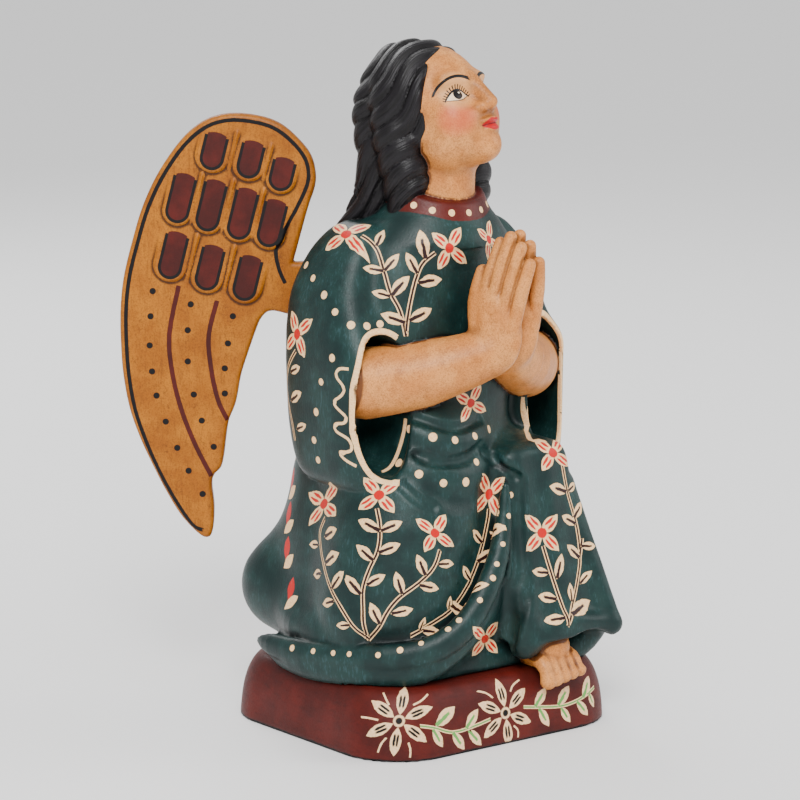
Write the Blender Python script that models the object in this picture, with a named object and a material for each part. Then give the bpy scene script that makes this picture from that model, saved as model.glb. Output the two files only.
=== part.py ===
"""Kneeling wooden angel: one carved figure, its low plinth and two wings seated in its back.

Units are metres in the file and millimetres in the carving's own numbers. The figure faces -Y,
its left is +X, and the origin is the middle of the plinth's underside.
"""
import math

import bmesh
import bpy
from mathutils import Matrix, Vector

MM = 0.001

# Driving dimensions, in millimetres
BASE_WIDTH = 148.0
BASE_DEPTH = 136.0
BASE_HEIGHT = 32.0
BASE_CORNER = 30.0
BASE_SHOULDER = 11.0
FIGURE_HEIGHT = 296.0
WING_HEIGHT = 206.6
WING_THICKNESS = 9.0
WING_EDGE_ROUNDING = 2.4
WING_RELIEF = 1.2
SEAT_DEPTH = 4.0
SLEEVE_WALL = 4.5
SLEEVE_HOLLOW_DEPTH = 34.0
JOINT_GAP = 0.3

# The carving keeps its proportions as shares of its own height: its numbers below are written
# for a figure 296 mm tall, with heights measured from the plinth's top.
CARVED_HEIGHT = 296.0
FIGURE_SCALE = FIGURE_HEIGHT / CARVED_HEIGHT
FIGURE_FOOT = BASE_HEIGHT + JOINT_GAP
CARVED_WING_HEIGHT = 206.6
WING_SCALE = WING_HEIGHT / CARVED_WING_HEIGHT

# Mesh fineness
VOXEL = 2.0
SMOOTH_STEPS = 3
FIGURE_TRIANGLES = 6800
RING_SIDES = 20

# Place of the wings: where each leaves the back, and the way it points, seen from above
WING_ROOT = Vector((22.0, 36.0))
WING_ANGLE = math.radians(38.0)
WING_FOOT = 52.7


def figure_point(point):
    """A point of the carving, in metres, standing on the plinth."""
    x, y, z = point
    return Vector((x, y, z)) * FIGURE_SCALE * MM + Vector((0, 0, FIGURE_FOOT * MM))


def material(name, colour, roughness):
    paint = bpy.data.materials.new(name)
    paint.use_nodes = True
    shader = paint.node_tree.nodes["Principled BSDF"]
    shader.inputs["Base Color"].default_value = (*colour, 1.0)
    shader.inputs["Roughness"].default_value = roughness
    shader.inputs["Metallic"].default_value = 0.0
    return paint


def bridge_rings(bm, rings):
    """Skins a row of equal rings and closes both ends."""
    count = len(rings[0])
    for low, high in zip(rings, rings[1:]):
        for i in range(count):
            j = (i + 1) % count
            bm.faces.new((low[i], low[j], high[j], high[i]))
    bm.faces.new(list(reversed(rings[0])))
    bm.faces.new(rings[-1])


def superellipse(angle, half_x, half_y, power):
    c, s = math.cos(angle), math.sin(angle)
    x = half_x * math.copysign(abs(c) ** (2.0 / power), c)
    y = half_y * math.copysign(abs(s) ** (2.0 / power), s)
    return x, y


def add_stack(bm, sections, power=2.6, sides=40):
    """A loft of level sections, each (height, centre x, centre y, half x, half y)."""
    rings = []
    for z, centre_x, centre_y, half_x, half_y in sections:
        ring = []
        for i in range(sides):
            x, y = superellipse(2 * math.pi * i / sides, half_x, half_y, power)
            ring.append(bm.verts.new(figure_point((centre_x + x, centre_y + y, z))))
        rings.append(ring)
    bridge_rings(bm, rings)


def add_ball(bm, centre, radii, axes=Matrix.Identity(3)):
    """An ellipsoid whose radii lie along the columns of axes."""
    stretch = axes.to_4x4() @ Matrix.Diagonal((*radii, 1.0))
    place = Matrix.Translation(figure_point(centre)) @ Matrix.Scale(FIGURE_SCALE * MM, 4) @ stretch
    bmesh.ops.create_uvsphere(bm, u_segments=24, v_segments=14, radius=1.0, matrix=place)


def smooth_path(points, radii, steps=4):
    """More points and radii along a smooth curve through the given ones."""
    path, widths = [], []
    padded = [points[0], *points, points[-1]]
    for k in range(1, len(padded) - 2):
        a, b, c, d = (Vector(p) for p in padded[k - 1:k + 3])
        for s in range(steps):
            t = s / steps
            path.append(0.5 * (2 * b + (c - a) * t + (2 * a - 5 * b + 4 * c - d) * t ** 2
                               + (3 * b - a - 3 * c + d) * t ** 3))
            widths.append(radii[k - 1] * (1 - t) + radii[k] * t)
    return path + [Vector(points[-1])], widths + [radii[-1]]


def add_limb(bm, points, radii, steps=4):
    """A round tube of changing radius along a smooth path, with round ends."""
    path, widths = smooth_path(points, radii, steps)
    ahead = [(path[min(k + 1, len(path) - 1)] - path[max(k - 1, 0)]).normalized()
             for k in range(len(path))]
    side = ahead[0].orthogonal().normalized()
    cap = [math.radians(a) for a in (75, 50, 25)]
    stations = [(path[0] - ahead[0] * widths[0] * math.sin(a), widths[0] * math.cos(a), ahead[0])
                for a in cap]
    stations += list(zip(path, widths, ahead))
    stations += [(path[-1] + ahead[-1] * widths[-1] * math.sin(a), widths[-1] * math.cos(a), ahead[-1])
                 for a in reversed(cap)]
    rings = []
    for centre, radius, along in stations:
        side = (side - along * side.dot(along)).normalized()
        other = along.cross(side)
        ring = []
        for i in range(RING_SIDES):
            angle = 2 * math.pi * i / RING_SIDES
            offset = side * math.cos(angle) + other * math.sin(angle)
            ring.append(bm.verts.new(figure_point(centre + offset * radius)))
        rings.append(ring)
    bridge_rings(bm, rings)


def new_object(name, bm, paint=None):
    mesh = bpy.data.meshes.new(name)
    bmesh.ops.recalc_face_normals(bm, faces=bm.faces)
    bm.to_mesh(mesh)
    bm.free()
    obj = bpy.data.objects.new(name, mesh)
    bpy.context.scene.collection.objects.link(obj)
    if paint:
        mesh.materials.append(paint)
    return obj


def baked(obj):
    """Replaces an object's mesh by its evaluated one, and clears its modifiers."""
    depsgraph = bpy.context.evaluated_depsgraph_get()
    mesh = bpy.data.meshes.new_from_object(obj.evaluated_get(depsgraph))
    obj.modifiers.clear()
    obj.data = mesh
    return obj


def fuse(obj, voxel=VOXEL, smooth_steps=0):
    """Melts overlapping shells into one skin."""
    remesh = obj.modifiers.new("Fuse", "REMESH")
    remesh.mode = "VOXEL"
    remesh.voxel_size = voxel * FIGURE_SCALE * MM
    if smooth_steps:
        smooth = obj.modifiers.new("Soften", "SMOOTH")
        smooth.factor = 0.5
        smooth.iterations = smooth_steps
    return baked(obj)


def cut(obj, cutter):
    boolean = obj.modifiers.new("Cut " + cutter.name, "BOOLEAN")
    boolean.operation = "DIFFERENCE"
    boolean.solver = "EXACT"
    boolean.object = cutter


def hide(cutter):
    cutter.hide_render = True
    cutter.display_type = "WIRE"
    return cutter


# Forms of the robe

def add_robe(bm):
    # Skirt, hips and torso
    add_stack(bm, [
        (0.0, -1, 1, 63, 55), (10, -1, 2, 62, 54), (24, -4, 5, 57, 51), (48, -7, 8, 53, 48),
        (78, -6, 9, 50, 46), (100, -5, 7, 48, 43), (122, -2, 3, 43, 38), (150, 0, 0, 42, 36),
        (180, 0, 0, 44, 36), (198, 0, 0, 43, 33), (208, 0, -3, 35, 28), (216, 0, -8, 25, 23)],
        power=2.8)
    # Chest and back filled out towards the sleeves
    for side in (-1, 1):
        add_ball(bm, (side * 24, -4, 164), (27, 30, 40))
    # Right thigh coming down to the kneeling knee
    add_limb(bm, [(-14, -14, 98), (-26, -20, 66), (-36, -20, 28)], [38, 37, 34])
    # Swag of cloth from the left knee across the kneeling knee
    add_limb(bm, [(-50, -4, 16), (-30, -30, 22), (-4, -34, 40), (4, -32, 66)], [18, 30, 26, 23])
    # Right shin and foot lying back under the robe
    add_limb(bm, [(-40, 0, 22), (-39, 30, 24), (-39, 54, 28)], [24, 23, 22.5])
    add_limb(bm, [(-24, 26, 68), (-34, 42, 46), (-39, 54, 30)], [24, 22, 21])
    # Left thigh and knee
    add_limb(bm, [(16, 8, 88), (24, -20, 88), (27, -32, 84)], [27, 26, 23])
    # Cloth falling from the left knee over the shin
    add_stack(bm, [
        (14, 36, -42, 31, 31), (24, 34.5, -41, 29.5, 29), (50, 30.5, -39, 26.5, 26),
        (80, 27.5, -37, 23.5, 24), (98, 26, -35, 20.5, 21), (106, 25, -33, 15, 16)], power=3.4)
    # Flared corner over the foot
    add_limb(bm, [(48, -49, 84), (56, -61, 42), (62, -69, 17)], [5, 6, 5])
    add_limb(bm, [(8, -52, 84), (10, -58, 50), (14, -62, 14)], [6, 7, 8])
    add_limb(bm, [(12, -62, 12), (34, -68, 22), (61, -69.5, 17)], [5, 4, 4])


RIM_PATH = [(6, -56, 88), (3, -58, 70), (-6, -62, 50), (-24, -64, 28), (-44, -57, 16),
            (-62, -36, 12), (-72, -2, 10), (-72, 26, 12), (-58, 54, 16)]


def add_rim(bm):
    """The robe's lower edge, sweeping from the left knee round to the right foot."""
    add_limb(bm, RIM_PATH, [4, 5, 5.5, 5.5, 5, 5, 5, 5, 5])


SLEEVE_HALF_WIDTH = 18.5
SLEEVE_FRONT = -33.0
SLEEVE_MIDDLE = {-1: 47.5, 1: 51.5}

# Level sections of a sleeve: height, shift inwards, front, back, and share of its half width
SLEEVE_SECTIONS = [
    (88, 0, -27, 11, 0.45), (91, 0, -31, 19, 0.72), (98, 0, -33, 25, 0.88), (116, 0, -33.5, 29.5, 0.97),
    (140, 0, -33.5, 31, 1.0), (152, 0, -32, 31, 1.0), (164, 1, -26, 31, 1.0), (180, 3, -20, 29, 0.97),
    (196, 8, -17, 24, 0.88), (206, 13, -14, 19, 0.7), (211, 17, -10, 14, 0.5)]
# The left shoulder slopes more, because the upper body leans after the turned head
LEFT_SLOPE_START = 160
LEFT_SLOPE = 4.0


def add_sleeve(bm, side):
    """A wide sleeve hanging from the shoulder, side -1 for the right arm."""
    sections = []
    for z, inwards, front, back, share in SLEEVE_SECTIONS:
        if side > 0 and z > LEFT_SLOPE_START:
            inwards += LEFT_SLOPE
        middle = side * (SLEEVE_MIDDLE[side] - inwards)
        sections.append((z, middle, (front + back) / 2, share * SLEEVE_HALF_WIDTH, (back - front) / 2))
    add_stack(bm, sections, power=3.0)


def sleeve_hollow(side):
    """The open inside of a sleeve, cut in from the front."""
    bm = bmesh.new()
    half_x = SLEEVE_HALF_WIDTH - SLEEVE_WALL
    rings = []
    for depth, inset in ((-15, 0), (4, 0), (SLEEVE_HOLLOW_DEPTH * 0.6, 2), (SLEEVE_HOLLOW_DEPTH, 7)):
        ring = []
        for i in range(28):
            x, z = superellipse(2 * math.pi * i / 28, half_x - inset * 0.6, 33 - inset, 2.4)
            centre_x = side * (SLEEVE_MIDDLE[side] - 1.0)
            ring.append(bm.verts.new(figure_point((centre_x + x, SLEEVE_FRONT + depth, 129 + z))))
        rings.append(ring)
    bridge_rings(bm, rings)
    return hide(new_object("sleeve_hollow", bm))


# Arms and hands

ELBOW = Vector((46, -16, 138))
WRISTS = Vector((5, -50, 152))
HANDS_TURN = Matrix.Rotation(math.radians(20), 3, "Z")

# Each finger: (outwards, forwards, up) from the middle of the joined wrists
FINGERS = [
    ((6.5, -2.5, 20), (6.0, 2.5, 38), (4.2, 5.5, 52)),
    ((6.5, 2.5, 20), (6.0, 7.0, 40), (4.2, 10.0, 55)),
    ((6.5, 7.5, 19), (6.0, 11.5, 38), (4.2, 14.5, 50.5)),
    ((6.5, 12.5, 16), (6.0, 16.0, 32), (4.2, 18.5, 43))]
THUMB = ((9.0, -3.5, 8), (8.5, -5.5, 24), (5.5, -4.0, 38))


def hand_point(side, outwards, forwards, up):
    return WRISTS + HANDS_TURN @ Vector((side * outwards, -forwards, up))


def add_arm(bm, side):
    elbow = Vector((side * (ELBOW.x + SLEEVE_MIDDLE[side] - SLEEVE_MIDDLE[-1]), ELBOW.y, ELBOW.z))
    wrist = hand_point(side, 8.5, 0, 0)
    middle = (elbow + wrist) / 2 + Vector((side * 2, -1, -2))
    add_limb(bm, [elbow + Vector((side * 2, 12, 0)), elbow, middle, wrist], [15, 17, 15.5, 11.5])


def add_hand(bm, side):
    turn = HANDS_TURN @ Matrix.Rotation(math.radians(-16), 3, "X")
    add_ball(bm, hand_point(side, 7.5, 4.5, 15), (7.5, 12.5, 20), turn)
    for finger in FINGERS:
        add_limb(bm, [hand_point(side, *p) for p in finger], [4.0, 3.9, 3.4])
    add_limb(bm, [hand_point(side, *p) for p in THUMB], [5.0, 4.4, 3.6])


def add_foot(bm):
    """The left foot's front under the flared hem, its toes hanging over the plinth's edge."""
    add_ball(bm, (30.5, -55, 8), (12.5, 15.5, 12))
    for k in range(5):
        x = 21.0 + 4.6 * k
        radius = 4.6 - 0.2 * k
        drop = -6.5 + 0.7 * k
        add_limb(bm, [(x, -58, 7), (x, -67, 1), (x + 0.5, -70, drop)], [radius, radius, radius - 0.5])


# Head, in axes turned to the figure's left and tilted up

HEAD_CENTRE = Vector((-1.5, -11, 261.5))
HEAD_TURN = math.radians(20)
HEAD_TILT = math.radians(24)
HEAD_AXES = Matrix.Rotation(HEAD_TURN, 3, "Z") @ Matrix.Rotation(-HEAD_TILT, 3, "X")
HEAD_SHARE = 0.92


def head_point(left, front, up):
    return HEAD_CENTRE + HEAD_AXES @ Vector((left, -front, up)) * HEAD_SHARE


def add_head_ball(bm, left, front, up, radii):
    add_ball(bm, head_point(left, front, up), [r * HEAD_SHARE for r in radii], HEAD_AXES)


def add_head(bm):
    add_limb(bm, [(0, -12, 200), (0, -13, 222), (1, -13, 240)], [19, 17, 16.5])
    add_head_ball(bm, 0, 0, 5, (25, 29, 30))
    add_head_ball(bm, 0, 9, -8, (22, 23, 25))
    add_head_ball(bm, 0, 21, -25, (10, 9, 9))
    add_limb(bm, [head_point(0, 28, 9), head_point(0, 32.5, -1), head_point(0, 34, -5)],
             [3.2, 3.3, 3.6])
    for side in (-1, 1):
        add_head_ball(bm, side * 4, 31, -6, (3, 3.6, 2.8))
        add_head_ball(bm, side * 12, 20.5, -9, (9, 8, 9))
    add_head_ball(bm, 0, 29, -13, (7.5, 3.4, 2.2))
    add_head_ball(bm, 0, 28, -17, (6, 3.2, 2.4))


def add_collar(bm):
    """A low band round the neckline, dipping to the front."""
    ring = [(22 * math.cos(a), -13 + 21 * math.sin(a), 216 + 4 * math.sin(a))
            for a in (2 * math.pi * k / 24 for k in range(25))]
    add_limb(bm, ring, [3.6] * len(ring), steps=1)


LOCKS = [
    ([(-10, 2, 284), (-21, -5, 270), (-22, -9, 252), (-19, -12, 234), (-18, -11, 219)],
     [9, 10, 11, 11.5, 9]),
    ([(-8, 11, 282), (-20, 9, 264), (-20, 6, 240), (-21, 8, 222), (-28, 15, 210)],
     [10.5, 11, 11, 10.5, 7.5]),
    ([(0, 12, 274), (-6, 13, 252), (-7, 14, 232), (-10, 18, 214), (-15, 22, 200)],
     [13, 13, 13, 12, 8]),
    ([(8, 8, 274), (11, 10, 252), (10, 12, 232), (10, 17, 214), (9, 21, 200)],
     [12, 12.5, 13, 12, 8]),
    ([(14, 2, 274), (23, -2, 256), (24, -5, 238), (23, -6, 222), (26, 2, 210)],
     [10, 10, 10.5, 10.5, 7])]


def add_hair(bm):
    add_head_ball(bm, 0, -5, 8, (28, 28, 31.5))
    for points, radii in LOCKS:
        add_limb(bm, points, radii)


# Carved lines: each is (path, half width, depth); a negative depth raises a ridge

FOLDS = [
    # Creases under the belt line, hanging across the lap
    ([(-40, -36, 112), (-22, -46, 104), (-2, -50, 104), (12, -46, 110)], 5, 2.2),
    ([(-42, -36, 96), (-24, -54, 86), (-6, -58, 86), (8, -52, 94)], 5, 2.0),
    # Valley between the thigh and the swept rim
    ([(2, -54, 84), (-2, -58, 62), (-14, -60, 42), (-36, -56, 26), (-58, -36, 22)], 7, 4.0),
    # Crease between the shin's cloth and the rim
    ([(8, -58, 92), (10, -62, 60), (10, -64, 36), (6, -60, 18)], 4, 3.0),
    # Soft upright folds down the shin
    ([(22, -60, 98), (22, -66, 60), (22, -70, 30)], 6, 1.6),
    ([(38, -58, 96), (42, -64, 60), (46, -70, 30)], 6, 1.2),
    # Folds down the back and far side
    ([(30, 34, 150), (34, 44, 100), (44, 50, 40)], 7, 2.6),
    ([(4, 38, 150), (2, 54, 90), (4, 58, 30)], 7, 2.4),
    ([(-20, 36, 150), (-26, 52, 90), (-14, 58, 30)], 7, 2.4),
    ([(52, 10, 100), (56, 8, 60), (62, 6, 20)], 7, 2.6),
    ([(50, -14, 96), (56, -20, 60), (62, -24, 20)], 6, 2.4)]


def hair_grooves():
    """Grooves between wavy strands, following each lock down and around it."""
    grooves = []
    for points, radii in LOCKS:
        path, widths = smooth_path(points, radii)
        for strand in range(5):
            angle = 2 * math.pi * strand / 5 + 0.4
            groove = []
            for k, (centre, radius) in enumerate(zip(path, widths)):
                turn = angle + 0.07 * k + 0.25 * math.sin(0.9 * k)
                groove.append(centre + Vector((math.cos(turn), math.sin(turn), 0)) * radius)
            grooves.append((groove, 2.6, 1.6))
    return grooves


def nearest_on(path, point):
    best = None
    for a, b in zip(path, path[1:]):
        along = b - a
        t = max(0.0, min(1.0, (point - a).dot(along) / along.length_squared))
        distance = (point - a - along * t).length
        if best is None or distance < best:
            best = distance
    return best


def carve(obj, grooves):
    """Presses each groove into the skin, along the skin's own normal."""
    mesh = obj.data
    moves = [0.0] * len(mesh.vertices)
    tree = []
    for points, half_width, depth in grooves:
        path = [figure_point(p) for p in smooth_path(points, [1] * len(points))[0]]
        reach = half_width * 1.8 * FIGURE_SCALE * MM
        low = Vector([min(p[i] for p in path) - reach for i in range(3)])
        high = Vector([max(p[i] for p in path) + reach for i in range(3)])
        tree.append((path, low, high, reach, depth * FIGURE_SCALE * MM))
    for vertex in mesh.vertices:
        point = vertex.co
        for path, low, high, reach, depth in tree:
            if all(low[i] < point[i] < high[i] for i in range(3)):
                distance = nearest_on(path, point)
                if distance < reach:
                    fade = 0.5 + 0.5 * math.cos(math.pi * distance / reach)
                    moves[vertex.index] += depth * fade
    normals = [vertex.normal.copy() for vertex in mesh.vertices]
    for vertex, move, normal in zip(mesh.vertices, moves, normals):
        vertex.co -= normal * move


def carved_figure(paint):
    """The angel, melted from its forms, carved, thinned and cut to fit plinth and wings."""
    robe = bmesh.new()
    add_robe(robe)
    add_rim(robe)
    for side in (-1, 1):
        add_sleeve(robe, side)
    body = fuse(new_object("figure", robe))
    for side in (-1, 1):
        cutter = sleeve_hollow(side)
        cut(body, cutter)
        baked(body)
        bpy.data.objects.remove(cutter)
    flesh = bmesh.new()
    flesh.from_mesh(body.data)
    add_head(flesh)
    add_hair(flesh)
    add_collar(flesh)
    add_foot(flesh)
    for side in (-1, 1):
        add_arm(flesh, side)
        add_hand(flesh, side)
    bpy.data.objects.remove(body)
    figure = fuse(new_object("figure", flesh), smooth_steps=SMOOTH_STEPS)
    carve(figure, FOLDS + hair_grooves())
    figure.data.materials.clear()
    figure.data.materials.append(paint)
    thin = figure.modifiers.new("Thin", "DECIMATE")
    thin.ratio = min(1.0, FIGURE_TRIANGLES / (2 * len(figure.data.polygons)))
    cut(figure, hide(plinth("plinth_cutter", JOINT_GAP)))
    for side in (-1, 1):
        cut(figure, seat_cutter(side))
    return figure


# Plinth

def base_half_sizes(rise):
    """The plinth's section shrinks towards its top along a flattened quarter of an ellipse."""
    inset = BASE_SHOULDER * (1.0 - math.sqrt(max(0.0, 1.0 - rise ** 2.2)))
    return BASE_WIDTH / 2 - inset, BASE_DEPTH / 2 - inset, BASE_CORNER - inset * 0.5


def rounded_rectangle(half_x, half_y, corner, steps=7):
    points = []
    for quarter, (sx, sy) in enumerate(((1, 1), (-1, 1), (-1, -1), (1, -1))):
        for k in range(steps):
            angle = math.pi / 2 * (quarter + k / (steps - 1))
            points.append((sx * (half_x - corner) + corner * math.cos(angle),
                           sy * (half_y - corner) + corner * math.sin(angle)))
    return points


def plinth(name, grow=0.0, paint=None):
    """The plinth's loft, or with grow the same form a little larger all round."""
    bm = bmesh.new()
    rings = []
    for rise in (0.0, 0.3, 0.55, 0.75, 0.88, 0.96, 1.0):
        half_x, half_y, corner = base_half_sizes(rise)
        height = rise * (BASE_HEIGHT + 2 * grow) - grow
        outline = rounded_rectangle(half_x + grow, half_y + grow, corner + grow)
        rings.append([bm.verts.new((x * MM, y * MM, height * MM)) for x, y in outline])
    bridge_rings(bm, rings)
    return new_object(name, bm, paint)


# Wings, drawn in their own plane: across the wing from its root, and up from its tip

WING_OUTLINE = [
    (22, 135), (15, 160.5), (11.5, 171), (11, 178), (13, 186), (18, 193), (27, 201), (37, 205),
    (50, 206.5), (61, 204.5), (70, 199), (78, 190.5), (87, 177), (94, 162), (99, 146), (103.5, 128),
    (105.3, 112), (105.3, 95), (104.3, 80), (101.5, 64), (96.5, 49), (90, 34.5), (84, 22.5),
    (77.5, 11.5), (70, 3), (65, 0), (62, 3), (61, 15), (62, 26), (61, 31), (57.5, 35), (56, 41),
    (55, 49), (53.5, 58), (50, 67), (47.5, 80), (44, 91), (40.5, 101), (37.5, 108), (33, 111.5),
    (25, 110)]
ROOT_LOW = 108.5
ROOT_HIGH = 135.5

# Rows of raised feathers: (across, up, half width, half length) of each one's middle
FEATHERS = [
    (59.5, 189, 8, 10.5), (42, 185, 8, 10.5), (27, 178, 7, 9.5),
    (75.5, 166.5, 7, 13.5), (61, 163, 7.4, 14), (46, 159, 7.4, 14), (32, 154.5, 7.4, 13),
    (79.5, 139, 8, 13), (62, 133, 8, 12.5), (44, 128, 8, 12.5)]
FEATHER_LEAN = math.radians(14)


def wing_frame(side):
    """Axes of a wing: x across from the root, y through its thickness, z up."""
    out = Vector((side * math.cos(WING_ANGLE), math.sin(WING_ANGLE), 0))
    through = Vector((-out.y, out.x, 0)) * side
    frame = Matrix((out, through, Vector((0, 0, 1)))).transposed().to_4x4()
    root = figure_point((side * WING_ROOT.x, WING_ROOT.y, WING_FOOT))
    return Matrix.Translation(root) @ frame


def wing_plate(bm):
    """The wing's outline, extruded to its thickness, with its root run into the seat."""
    root_end = (-SEAT_DEPTH + JOINT_GAP) * MM
    outline = [(x * WING_SCALE * MM, z * WING_SCALE * MM) for x, z in WING_OUTLINE]
    outline += [(root_end, ROOT_LOW * WING_SCALE * MM), (root_end, ROOT_HIGH * WING_SCALE * MM)]
    half = WING_THICKNESS * MM / 2
    front = [bm.verts.new((x, -half, z)) for x, z in outline]
    back = [bm.verts.new((x, half, z)) for x, z in outline]
    bridge_rings(bm, [front, back])


def feather_pad(bm, across, up, half_width, half_length):
    """One feather: a low pad with a round lower end, leaning with its row."""
    half = WING_THICKNESS * MM / 2
    levels = ((half - 1.0 * MM, 0.0), (half + WING_RELIEF * MM * 0.4, 0.0),
              (half + WING_RELIEF * MM, 1.2))
    rings = []
    for level, inset in levels:
        width, length = half_width - inset, half_length - inset
        outline = [(width, length * 0.9), (width * 0.7, length), (-width * 0.7, length),
                   (-width, length * 0.9)]
        for k in range(7):
            angle = math.pi + math.pi * k / 6
            outline.append((width * math.cos(angle), -length + width + width * math.sin(angle)))
        ring = []
        for x, z in outline:
            lean_x = across - (x * math.cos(FEATHER_LEAN) + z * math.sin(FEATHER_LEAN))
            lean_z = up + z * math.cos(FEATHER_LEAN) - x * math.sin(FEATHER_LEAN)
            ring.append(bm.verts.new((lean_x * WING_SCALE * MM, -level, lean_z * WING_SCALE * MM)))
        rings.append(ring)
    bridge_rings(bm, rings)


def wing(name, side, paint):
    bm = bmesh.new()
    wing_plate(bm)
    plate = new_object(name, bm, paint)
    rounding = plate.modifiers.new("Round edges", "BEVEL")
    rounding.width = WING_EDGE_ROUNDING * MM
    rounding.segments = 2
    rounding.limit_method = "ANGLE"
    rounding.angle_limit = math.radians(50)
    pads = bmesh.new()
    for across, up, half_width, half_length in FEATHERS:
        feather_pad(pads, across, up, half_width, half_length)
    guide = hide(new_object(name + "_feathers", pads))
    guide.matrix_world = wing_frame(side)
    union = plate.modifiers.new("Feathers", "BOOLEAN")
    union.operation = "UNION"
    union.solver = "EXACT"
    union.use_self = True
    union.object = guide
    plate.matrix_world = wing_frame(side)
    return plate


def seat_cutter(side):
    """The shallow pocket in the back that a wing's root sits in."""
    bm = bmesh.new()
    reach = 40.0
    low = ROOT_LOW * WING_SCALE - JOINT_GAP
    high = ROOT_HIGH * WING_SCALE + JOINT_GAP
    size = ((SEAT_DEPTH + reach) * MM, (WING_THICKNESS + 2 * JOINT_GAP) * MM, (high - low) * MM)
    centre = ((reach - SEAT_DEPTH) / 2 * MM, 0, (low + high) / 2 * MM)
    place = Matrix.Translation(centre) @ Matrix.Diagonal((*size, 1.0))
    bmesh.ops.create_cube(bm, size=1.0, matrix=place)
    cutter = hide(new_object("seat_cutter", bm))
    cutter.matrix_world = wing_frame(side)
    return cutter


def main():
    for obj in list(bpy.data.objects):
        bpy.data.objects.remove(obj)
    figure = carved_figure(material("robe_green", (0.018, 0.055, 0.052), 0.45))
    base = plinth("base", paint=material("plinth_maroon", (0.17, 0.035, 0.025), 0.5))
    ochre = material("wing_ochre", (0.55, 0.28, 0.07), 0.45)
    right = wing("wing_right", -1, ochre)
    left = wing("wing_left", 1, ochre)
    for obj in (figure, base, right, left):
        obj.data.shade_smooth()
        obj.data.set_sharp_from_angle(angle=math.radians(40))


main()
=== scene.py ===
import math
import random

import bpy
import numpy as np
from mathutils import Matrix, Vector
from mathutils.bvhtree import BVHTree


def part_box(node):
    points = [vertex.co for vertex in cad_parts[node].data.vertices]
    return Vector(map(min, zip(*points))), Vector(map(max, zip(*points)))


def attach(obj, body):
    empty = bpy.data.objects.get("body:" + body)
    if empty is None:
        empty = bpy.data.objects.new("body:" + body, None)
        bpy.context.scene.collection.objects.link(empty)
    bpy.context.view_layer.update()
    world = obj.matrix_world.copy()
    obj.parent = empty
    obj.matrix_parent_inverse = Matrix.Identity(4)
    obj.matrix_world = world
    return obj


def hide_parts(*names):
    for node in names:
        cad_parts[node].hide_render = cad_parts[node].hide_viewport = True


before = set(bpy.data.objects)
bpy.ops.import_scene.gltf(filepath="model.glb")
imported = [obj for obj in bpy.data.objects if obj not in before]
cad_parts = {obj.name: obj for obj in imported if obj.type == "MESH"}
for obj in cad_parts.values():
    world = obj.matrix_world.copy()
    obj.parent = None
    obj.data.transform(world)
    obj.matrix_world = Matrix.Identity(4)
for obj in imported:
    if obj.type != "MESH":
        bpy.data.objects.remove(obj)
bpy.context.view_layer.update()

# The carving is worked out in millimetres. Figure heights are measured from the plinth's top,
# as in the model's own source, and the whole is moved into metres at the end.
MM = 0.001
JOINT_GAP = 0.3
BASE_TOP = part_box("base")[1][2] / MM
BASE_HALF_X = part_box("base")[1][0] / MM
BASE_HALF_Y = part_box("base")[1][1] / MM
BASE_SHOULDER = 11.0
BASE_CORNER = 30.0
FIGURE_FOOT = BASE_TOP + JOINT_GAP
FIGURE_STEP = 1.84
WING_STEP = 1.25
FAR = 12.0
random.seed(7)


def unit(vectors):
    return vectors / np.maximum(np.linalg.norm(vectors, axis=1, keepdims=True), 1e-9)


# Fields: a form gives the signed distance in millimetres at many points at once

def smooth_min(a, b, k):
    h = np.clip(0.5 + 0.5 * (b - a) / k, 0.0, 1.0)
    return b * (1 - h) + a * h - k * h * (1 - h)


def smooth_max(a, b, k):
    return -smooth_min(-a, -b, k)


class Form:
    """A shape with a box outside which it can be left out."""

    def __init__(self, low, high, measure):
        self.low = np.asarray(low, float) - 9.0
        self.high = np.asarray(high, float) + 9.0
        self.measure = measure

    def near(self, points):
        return np.all((points > self.low) & (points < self.high), axis=1)


def ball(centre, radii, axes=None):
    centre, radii = np.asarray(centre, float), np.asarray(radii, float)
    axes = np.eye(3) if axes is None else axes

    def measure(points):
        local = (points - centre) @ axes
        k0 = np.linalg.norm(local / radii, axis=1)
        k1 = np.linalg.norm(local / radii ** 2, axis=1)
        return k0 * (k0 - 1.0) / np.maximum(k1, 1e-9)

    reach = radii.max()
    return Form(centre - reach, centre + reach, measure)


def curve_through(points, steps=4):
    """A smooth curve through the points, and where on it each sample lies."""
    points = np.asarray(points, float)
    padded = np.vstack([points[:1], points, points[-1:]])
    samples, places = [], []
    for k in range(len(points) - 1):
        a, b, c, d = padded[k:k + 4]
        for s in range(steps):
            t = s / steps
            samples.append(0.5 * (2 * b + (c - a) * t + (2 * a - 5 * b + 4 * c - d) * t ** 2
                                  + (3 * b - a - 3 * c + d) * t ** 3))
            places.append(k + t)
    return np.array(samples + [points[-1]]), np.array(places + [len(points) - 1.0])


def nearest_on(points, path):
    """Distance to a path, the segment, the share along it, and the offset from it."""
    best = np.full(len(points), np.inf)
    place = np.zeros(len(points))
    offset = np.zeros_like(points)
    for k, (a, b) in enumerate(zip(path, path[1:])):
        along = b - a
        t = np.clip((points - a) @ along / max(along @ along, 1e-12), 0.0, 1.0)
        away = points - a - t[:, None] * along
        distance = np.linalg.norm(away, axis=1)
        closer = distance < best
        best[closer] = distance[closer]
        place[closer] = k + t[closer]
        offset[closer] = away[closer]
    return best, place, offset


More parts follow.
